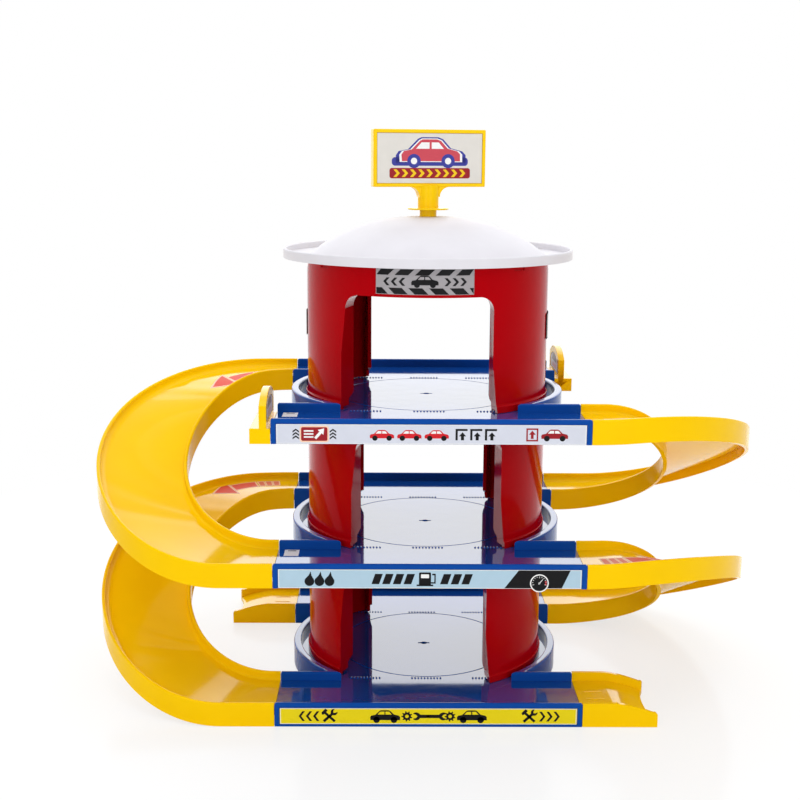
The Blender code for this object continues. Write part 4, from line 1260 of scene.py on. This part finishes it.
def top_artwork():
    """Parking strip: an arrow box between chevrons, cars and bays, and a boxed arrow with a car."""
    black = crest_marks(-79.3, 1.9, 2.0) + crest_marks(-57.6, 1.9, 2.0)
    blush = [rounded_box(-77.0, -4.9, -60.0, 4.9, 1.6)]
    maroon = [rounded_box(-76.2, -4.1, -60.8, 4.1, 1.0)]
    white = [moved(arrow(8.0, 2.2, 0.8, 3.2), -68.0, -2.6, turn=0.85)]
    white += [bar(-74.6, y, -69.0, y + 0.9) for y in (-2.2, -0.4, 1.4)]
    red = []
    for x in (-29.0, -13.0, 3.0):
        body, panes, rims = car(x, -2.4, 14.0, 2.7)
        red.append(body)
        white += panes
        black += rims
    for x in (14.0, 22.6, 31.2):
        black += [bar(x, -3.4, x + 1.3, 3.4), bar(x + 1.3, 2.2, x + 7.0, 3.4)]
        black += [moved(arrow(4.8, 2.1, 0.9, 2.4), x + 4.1, -3.4, turn=math.pi / 2)]
    maroon += frame_bars(55.4, -3.9, 62.4, 3.9, 0.9)
    maroon += [moved(arrow(5.0, 2.0, 0.8, 2.5), 58.9, -2.4, turn=math.pi / 2)]
    body, panes, rims = car(72.0, -2.3, 15.5, 2.6)
    maroon.append(body)
    white += panes
    edge = frame_bars(-90.5, -5.8, 90.5, 5.8, 0.35)
    return [
        (0, "ink_white", edge), (1, "ink_blush", blush), (2, "ink_red", red),
        (3, "ink_maroon", maroon), (4, "ink_black", black + rims), (5, "ink_white", white),
    ]


def hazard_artwork():
    """Warning plate: slanted stripes above and below a car between chevrons."""
    half = HAZARD_WIDTH / MM / 2 - 0.3
    black = []
    for low, high, lean in ((-7.5, -3.7, -3.8), (3.9, 7.5, 3.8)):
        for index in range(-3, 4):
            stripe = bar(12.3 * index - 6.0, low, 12.3 * index + 2.3, high, lean)
            inside = [(min(max(x, -half), half), y) for x, y in stripe]
            if max(x for x, _ in inside) - min(x for x, _ in inside) > 1.0:
                black.append(inside)
    black += [chevron(x, 0, -2.2, 2.4, 1.9) for x in (-11.6, -16.4, -21.2)]
    black += [chevron(x, 0, 2.2, 2.4, 1.9) for x in (11.6, 16.4, 21.2)]
    body, panes, rims = car(0.0, -1.9, 16.0, 2.6)
    return [(1, "ink_black", black + [body] + rims), (2, "plate_grey", panes)]


def side_artwork():
    """Slanted white stripes on the black plate."""
    stripes = [bar(-14.0 + 6.0 * k, -7.4, -11.2 + 6.0 * k, 7.4, 5.0) for k in range(4)]
    half = SIDE_PLATE_WIDTH / MM / 2 - 0.6
    return [(1, "ink_white", [[(min(max(x, -half), half), y) for x, y in s] for s in stripes])]


def sign_artwork():
    """Outlined car above a bar of chevrons."""
    blue = [moved(car_body(46.0), 0.5, -3.2), rounded_box(-25.5, -4.8, 25.5, 0.6, 2.2, 8)]
    white = [moved(car_body(41.5), 0.5, -2.4)]
    rose = [moved(car_body(38.6), 0.5, -1.9)]
    panes = [moved(pane, 0.5, -1.9) for pane in car_windows(38.6)]
    tyres = [moved(wheel, 0.5, -2.1) for wheel in wheels(38.6, 2.8)]
    hubs = [moved(wheel, 0.5, -2.1) for wheel in wheels(38.6, 1.3)]
    maroon = [rounded_box(-27.0, -12.8, 27.0, -6.2, 1.6, 8)]
    yellow = [chevron(-24.4 + 5.5 * k, -9.5, 2.2, 2.4, 2.1) for k in range(9)]
    return [
        (1, "ink_blue", blue), (2, "ink_white", white), (3, "ink_rose", rose),
        (4, "ink_white", panes), (5, "ink_blue", tyres), (6, "ink_white", hubs),
        (7, "ink_maroon", maroon), (8, "ink_yellow", yellow),
    ]


def road_arrow():
    """Arrow with tail dashes, a loose head and a pale border, from the origin to +X."""
    dashes = [bar(x, -5.4, x + 3.7, 5.4) for x in (2.7, 8.2, 13.7)]
    border = [bar(x - 0.8, -6.4, x + 4.5, 6.4) for x in (2.7, 8.2, 13.7)]
    border += [bar(18.9, -6.8, 38.5, 6.8), [(37.6, -14.6), (55.0, 0.0), (37.6, 14.6)]]
    solids = [bar(20.1, -5.6, 37.3, 5.6), [(39.2, -12.0), (52.8, 0.0), (39.2, 12.0)]]
    return [(0, "ink_blush", border), (1, "ink_salmon", dashes), (2, "ink_coral", solids)]


def road_note():
    """Small white film with a dark dash over thin lines."""
    lines = [bar(-3.2, y, 3.2, y + 0.25) for y in (-3.4, -1.6, 0.2, 2.0)]
    return [
        (0, "ink_white", [bar(-4.6, -6.2, 4.6, 6.2)]), (1, "film_grey", lines),
        (2, "ink_black", [bar(-2.6, 3.4, 2.6, 4.8)]),
    ]


def stop_artwork():
    """Grey upper field over a pale one with slanted marks."""
    field = [(-13.0, 0.0), (13.0, 0.0), (10.0, 3.4), (5.0, 5.6), (-5.0, 5.6), (-10.0, 3.4)]
    marks = [bar(x, -4.6, x + 1.6, -1.6, 1.8) for x in (-9.0, -4.0, 1.0, 6.0)]
    return [(1, "ink_stone", [field]), (2, "ink_salmon", marks)]


# Prints

def on_front(level):
    """Places a label's artwork on a deck's front face."""
    foot = BASE_LABEL_FOOT if level == 0 else 0.0
    middle = (foot + DECK_HEIGHT - LABEL_TOP_MARGIN) / 2 + level * DECK_PITCH
    face = -DECK_DEPTH / 2 + PRINT_INSET

    def place(x, y, up):
        return Vector((x, face - up, middle + y))

    return place


def on_drum(angle, middle):
    """Places artwork on a plate round the upper storey."""
    def place(x, y, up):
        turn = angle + x / DRUM_RADIUS
        radius = PLATE_RADIUS - PRINT_INSET + up
        return Vector((radius * math.cos(turn), radius * math.sin(turn), middle + y))

    return place


def on_sign(x, y, up):
    """Places artwork on the sign's card."""
    face = -SIGN_THICKNESS / 2 + CARD_SINK + PRINT_INSET
    point = Vector((x, face - up, SIGN_BOARD_Z + SIGN_HEIGHT / 2 + y))
    return Matrix.Rotation(SIGN_TURN, 4, "Z") @ point


def on_road(x_middle, y_middle, level):
    """Places artwork on a deck's road."""
    height = ROAD_Z + level * DECK_PITCH

    def place(x, y, up):
        return Vector((x_middle + x, y_middle + y, height + up))

    return place


def on_stop(half_turn):
    """Places artwork on an end stop's card."""
    face = DECK_LENGTH / 2 + SEAT_GAP + STOP_PANEL_SETBACK + CARD_SINK
    middle = 2 * DECK_PITCH + STOP_HEIGHT + STOP_FRAME / 2 + STOP_PRINT_LIFT
    side = -1.0 if half_turn else 1.0

    def place(x, y, up):
        return Vector((side * (up - face), side * (x - STRIP_MIDDLE), middle + y))

    return place


def on_ramp(start, share, half_turn, level):
    """Places artwork on a ramp's road, running downhill from a share of the half turn."""
    def track(turn, side):
        inside, outside = ramp_walls_at(min(max(turn, 0.0), 1.0))
        return inside.lerp(outside, side), (outside - inside).xy.length

    pace = (track(start + 0.1, share)[0] - track(start, share)[0]).length / 0.1

    def place(x, y, up):
        turn = start + x / pace
        side = share - y / track(turn, share)[1]
        point = track(turn, side)[0]
        height = point.z - ROAD_DROP - fold_depth(turn, side) + RAMP_PRINT_LIFT + up
        sign = -1.0 if half_turn else 1.0
        return Vector((sign * point.x, sign * point.y, height + level * DECK_PITCH))

    return place


def ink_film(name, shapes, place, ink, layer, body="garage", sliced=False):
    """Thin printed shapes, laid on a surface by the place function."""
    thickness = bpy.context.scene.garage_sizes.ink_thickness
    bm = bmesh.new()
    for shape in shapes:
        bm.faces.new([bm.verts.new((x * MM, y * MM, 0.0)) for x, y in shape])
    bmesh.ops.recalc_face_normals(bm, faces=bm.faces)
    for face in bm.faces:
        if face.normal.z < 0:
            face.normal_flip()
    bmesh.ops.triangulate(bm, faces=bm.faces)
    if sliced:
        reach = max(abs(c) for vert in bm.verts for c in vert.co.xy)
        for axis in ((1, 0, 0), (0, 1, 0)):
            for step in range(-int(reach / PRINT_SLICE), int(reach / PRINT_SLICE) + 1):
                bmesh.ops.bisect_plane(
                    bm, geom=bm.verts[:] + bm.edges[:] + bm.faces[:],
                    plane_co=Vector(axis) * step * PRINT_SLICE, plane_no=axis,
                )
    grown = bmesh.ops.extrude_face_region(bm, geom=bm.faces[:])
    tops = {item for item in grown["geom"] if isinstance(item, bmesh.types.BMVert)}
    for vert in bm.verts:
        up = (layer * LAYER_STEP + 1) * thickness if vert in tops else -PRINT_SINK
        vert.co = place(vert.co.x, vert.co.y, up)
    film = solid(name, bm)
    film.data.materials.append(finish_of(ink))
    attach(film, body)


def print_artwork(prefix, artwork, place, body="garage", sliced=False):
    """Prints the layers of an artwork, each as a piece of its own."""
    for layer, ink, shapes in artwork:
        ink_film(prefix + str(layer), shapes, place, ink, layer, body, sliced)


def build_labels():
    art = (base_artwork(), middle_artwork(), top_artwork())
    films = ("film_yellow", "film_sky", "film_grey")
    for level, name in enumerate(("base", "middle", "top")):
        low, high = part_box("label_" + name)
        low.y += PRINT_INSET
        film = block("label_" + name + "_film", low, high)
        finish(film, "label_" + name, finish_of(films[level]))
        print_artwork("label_" + name + "_print_", art[level], on_front(level))


def curved_plate(name, middle, width, low, high):
    """Thin plate on the outside of a drum, round an angle."""
    inner = DRUM_RADIUS + SEAT_GAP
    outer = PLATE_RADIUS - PRINT_INSET
    reach = width / 2 / DRUM_RADIUS
    outline = arc((0, 0), outer, middle - reach, middle + reach, 40)
    outline += arc((0, 0), inner, middle + reach, middle - reach, 40)
    return prism(name, outline, low, high)


def build_plates():
    foot = 2 * DECK_PITCH + STOREY_FOOT
    turn = STOREY_TURNS[2]
    top = foot + UPPER_STOREY_HEIGHT - HAZARD_BELOW_LID
    front = turn + HAZARD_TURN - math.pi / 2
    plate = curved_plate("hazard_plate_film", front, HAZARD_WIDTH, top - HAZARD_HEIGHT, top)
    finish(plate, "hazard_plate", finish_of("plate_grey"))
    middle = top - HAZARD_HEIGHT / 2
    place = on_drum(front, middle)
    print_artwork("hazard_print_", hazard_artwork(), place, sliced=True)
    middle = foot + SIDE_PLATE_Z
    half = SIDE_PLATE_HEIGHT / 2
    for side, angle in (("right", turn), ("left", turn + math.pi)):
        node = "side_plate_" + side
        plate = curved_plate(node + "_film", angle, SIDE_PLATE_WIDTH, middle - half, middle + half)
        finish(plate, node, finish_of("plate_black"))
        place = on_drum(angle, middle)
        for layer, ink, shapes in side_artwork():
            ink_film(node + "_print", shapes, place, ink, layer, sliced=True)


def build_road_marks():
    marks = (("left", 1, 0.40), ("left", 0, 0.74), ("right", 1, 0.55), ("right", 0, 0.55))
    for side, level, share in marks:
        place = on_ramp(ARROW_START, share, side == "right", level)
        prefix = "ramp_arrow_" + side + ("_upper_" if level else "_lower_")
        print_artwork(prefix, road_arrow(), place, sliced=True)
    for level, name in ((1, "middle"), (2, "top")):
        print_artwork(name + "_note_", road_note(), on_road(*NOTE_PLACE, level))
    for side in ("front", "back"):
        place = on_stop(side == "back")
        print_artwork("stop_print_" + side + "_", stop_artwork(), place)


# Camera, light and floor

def aim_camera(scene):
    """Puts the camera where the photograph was taken."""
    cy, sy = math.cos(CAMERA_YAW), math.sin(CAMERA_YAW)
    cp, sp = math.cos(CAMERA_PITCH), math.sin(CAMERA_PITCH)
    forward = Vector((sy * cp, cy * cp, -sp))
    right = Vector((cy, -sy, 0.0))
    up = right.cross(forward)
    c, s = math.cos(CAMERA_ROLL), math.sin(CAMERA_ROLL)
    right, up = c * right + s * up, c * up - s * right
    turn = Matrix((right, up, -forward)).transposed().to_4x4()
    camera = bpy.data.objects.new("camera", bpy.data.cameras.new("camera"))
    camera.data.lens = CAMERA_LENS
    camera.data.sensor_width = 36.0
    camera.data.clip_start = 0.05
    camera.data.clip_end = 20.0
    camera.matrix_world = Matrix.Translation(CAMERA_PLACE) @ turn
    scene.collection.objects.link(camera)
    scene.camera = camera


def light_surround(scene):
    """A pale surround that is brighter behind the garage, and plain white for the camera."""
    world = bpy.data.worlds.new("studio")
    scene.world = world
    world.use_nodes = True
    tree = world.node_tree
    tree.nodes.clear()
    direction = add(tree, "ShaderNodeTexCoord", {}).outputs["Generated"]
    depth = add(tree, "ShaderNodeSeparateXYZ", {0: direction}).outputs["Y"]
    power = remapped(tree, depth, 0.0, 0.7, 0.70, 1.05)
    pale = {"Color": (0.97, 0.98, 1.0, 1.0), "Strength": power}
    surround = add(tree, "ShaderNodeBackground", pale).outputs[0]
    white = {"Color": (1.0, 1.0, 1.0, 1.0), "Strength": 1.0}
    seen = add(tree, "ShaderNodeBackground", white).outputs[0]
    ray = add(tree, "ShaderNodeLightPath", {}).outputs["Is Camera Ray"]
    mix = add(tree, "ShaderNodeMixShader", {0: ray, 1: surround, 2: seen}).outputs[0]
    add(tree, "ShaderNodeOutputWorld", {"Surface": mix})


def hang_lamps(scene):
    """Soft boxes to both sides of the camera, one overhead and a wide panel at the back."""
    lamps = (
        ("left_softbox", (-0.55, -1.25, 0.42), (0.0, 0.0, 0.18), 0.60, 0.80, 2.6),
        ("right_softbox", (0.55, -1.25, 0.42), (0.0, 0.0, 0.18), 0.60, 0.80, 2.6),
        ("top_softbox", (0.0, -0.10, 1.35), (0.0, 0.0, 0.10), 1.20, 1.20, 5.6),
        ("back_panel", (0.0, 1.10, 0.70), (0.0, 0.0, 0.20), 2.40, 1.20, 7.4),
    )
    for name, place, target, width, height, power in lamps:
        light = bpy.data.lights.new(name, "AREA")
        light.shape = "RECTANGLE"
        light.size = width
        light.size_y = height
        light.energy = power
        lamp = bpy.data.objects.new(name, light)
        lamp.location = place
        toward = Vector(place) - Vector(target)
        lamp.rotation_euler = toward.to_track_quat("Z", "Y").to_euler()
        scene.collection.objects.link(lamp)


def white_acrylic():
    """White acrylic sheet with a dim gloss, which the camera sees fade into the background."""
    material = bpy.data.materials.new("white_acrylic_sheet")
    material.use_nodes = True
    tree = material.node_tree
    shader = tree.nodes["Principled BSDF"]
    shader.inputs["Base Color"].default_value = (0.90, 0.90, 0.90, 1.0)
    shader.inputs["Roughness"].default_value = 0.16
    shader.inputs["IOR"].default_value = 1.45
    place = add(tree, "ShaderNodeTexCoord", {}).outputs["Object"]
    away = add(tree, "ShaderNodeVectorMath", {0: place}, operation="LENGTH").outputs["Value"]
    fade = remapped(tree, away, 0.25, 0.60, 0.72, 1.0)
    ray = add(tree, "ShaderNodeLightPath", {}).outputs["Is Camera Ray"]
    share = product(tree, ray, fade)
    white = {"Color": (1.0, 1.0, 1.0, 1.0), "Strength": 1.0}
    glow = add(tree, "ShaderNodeEmission", white).outputs[0]
    mix = add(tree, "ShaderNodeMixShader", {0: share, 1: shader.outputs[0], 2: glow})
    tree.links.new(mix.outputs[0], tree.nodes["Material Output"].inputs["Surface"])
    return material


def build_stage():
    scene = bpy.context.scene
    scene.view_settings.view_transform = "Standard"
    aim_camera(scene)
    light_surround(scene)
    hang_lamps(scene)
    bm = bmesh.new()
    bmesh.ops.create_grid(bm, x_segments=8, y_segments=8, size=FLOOR_REACH)
    floor = solid("studio_floor", bm, Matrix.Translation((0, 0, -FLOOR_DROP)))
    floor.data.materials.append(white_acrylic())


# Operators and panel

class GarageOperator:
    """What the garage's operators share."""
    bl_options = {"REGISTER", "UNDO"}

    def execute(self, context):
        before = len(context.scene.objects)
        self.build()
        if len(context.scene.objects) == before:
            raise RuntimeError(self.bl_label + " made nothing")
        return {"FINISHED"}


class GARAGE_OT_decks(GarageOperator, bpy.types.Operator):
    """Adds the three blue decks with their parking ribs"""
    bl_idname = "garage.decks"
    bl_label = "Decks"
    build = staticmethod(build_decks)


class GARAGE_OT_storeys(GarageOperator, bpy.types.Operator):
    """Adds the three red drum storeys with their doorways"""
    bl_idname = "garage.storeys"
    bl_label = "Storeys"
    build = staticmethod(build_storeys)


class GARAGE_OT_ramps(GarageOperator, bpy.types.Operator):
    """Adds the four half-turn ramps"""
    bl_idname = "garage.ramps"
    bl_label = "Ramps"
    build = staticmethod(build_ramps)


class GARAGE_OT_ends(GarageOperator, bpy.types.Operator):
    """Adds the run-off wedges and the end stops with their cards"""
    bl_idname = "garage.ends"
    bl_label = "Wedges and End Stops"
    build = staticmethod(build_ends)


class GARAGE_OT_lid(GarageOperator, bpy.types.Operator):
    """Adds the domed lid"""
    bl_idname = "garage.lid"
    bl_label = "Lid"
    build = staticmethod(build_lid)


class GARAGE_OT_sign(GarageOperator, bpy.types.Operator):
    """Adds the turning sign with its printed card"""
    bl_idname = "garage.sign"
    bl_label = "Sign"
    build = staticmethod(build_sign)


class GARAGE_OT_labels(GarageOperator, bpy.types.Operator):
    """Adds the printed strips on the fronts of the decks"""
    bl_idname = "garage.labels"
    bl_label = "Deck Labels"
    build = staticmethod(build_labels)


class GARAGE_OT_plates(GarageOperator, bpy.types.Operator):
    """Adds the striped plates on the upper storey"""
    bl_idname = "garage.plates"
    bl_label = "Striped Plates"
    build = staticmethod(build_plates)


class GARAGE_OT_road_marks(GarageOperator, bpy.types.Operator):
    """Adds the arrows on the ramps and the small prints on the decks and end stops"""
    bl_idname = "garage.road_marks"
    bl_label = "Road Marks"
    build = staticmethod(build_road_marks)


class GARAGE_OT_stage(GarageOperator, bpy.types.Operator):
    """Adds the camera, the lamps, the surround and the floor"""
    bl_idname = "garage.stage"
    bl_label = "Studio"
    build = staticmethod(build_stage)


OPERATORS = (
    GARAGE_OT_decks, GARAGE_OT_storeys, GARAGE_OT_ramps, GARAGE_OT_ends, GARAGE_OT_lid,
    GARAGE_OT_sign, GARAGE_OT_labels, GARAGE_OT_plates, GARAGE_OT_road_marks, GARAGE_OT_stage,
)


class GARAGE_PT_panel(bpy.types.Panel):
    """Lists the garage's pieces, sizes and colours"""
    bl_label = "Toy Parking Garage"
    bl_idname = "GARAGE_PT_panel"
    bl_space_type = "VIEW_3D"
    bl_region_type = "UI"
    bl_category = "Garage"

    def draw(self, context):
        for operator in OPERATORS:
            self.layout.operator(operator.bl_idname)
        for group in (context.scene.garage_sizes, context.scene.garage_colours):
            column = self.layout.column()
            for name in group.__annotations__:
                column.prop(group, name)


CLASSES = (GarageSizes, GarageColours, *OPERATORS, GARAGE_PT_panel)


def register():
    for cls in CLASSES:
        bpy.utils.register_class(cls)
    bpy.types.Scene.garage_sizes = PointerProperty(type=GarageSizes)
    bpy.types.Scene.garage_colours = PointerProperty(type=GarageColours)


def unregister():
    del bpy.types.Scene.garage_colours
    del bpy.types.Scene.garage_sizes
    for cls in reversed(CLASSES):
        bpy.utils.unregister_class(cls)


def main():
    register()
    for step in (
        bpy.ops.garage.decks, bpy.ops.garage.storeys, bpy.ops.garage.ramps, bpy.ops.garage.ends,
        bpy.ops.garage.lid, bpy.ops.garage.sign, bpy.ops.garage.labels, bpy.ops.garage.plates,
        bpy.ops.garage.road_marks, bpy.ops.garage.stage,
    ):
        step()


if __name__ == "__main__":
    main()
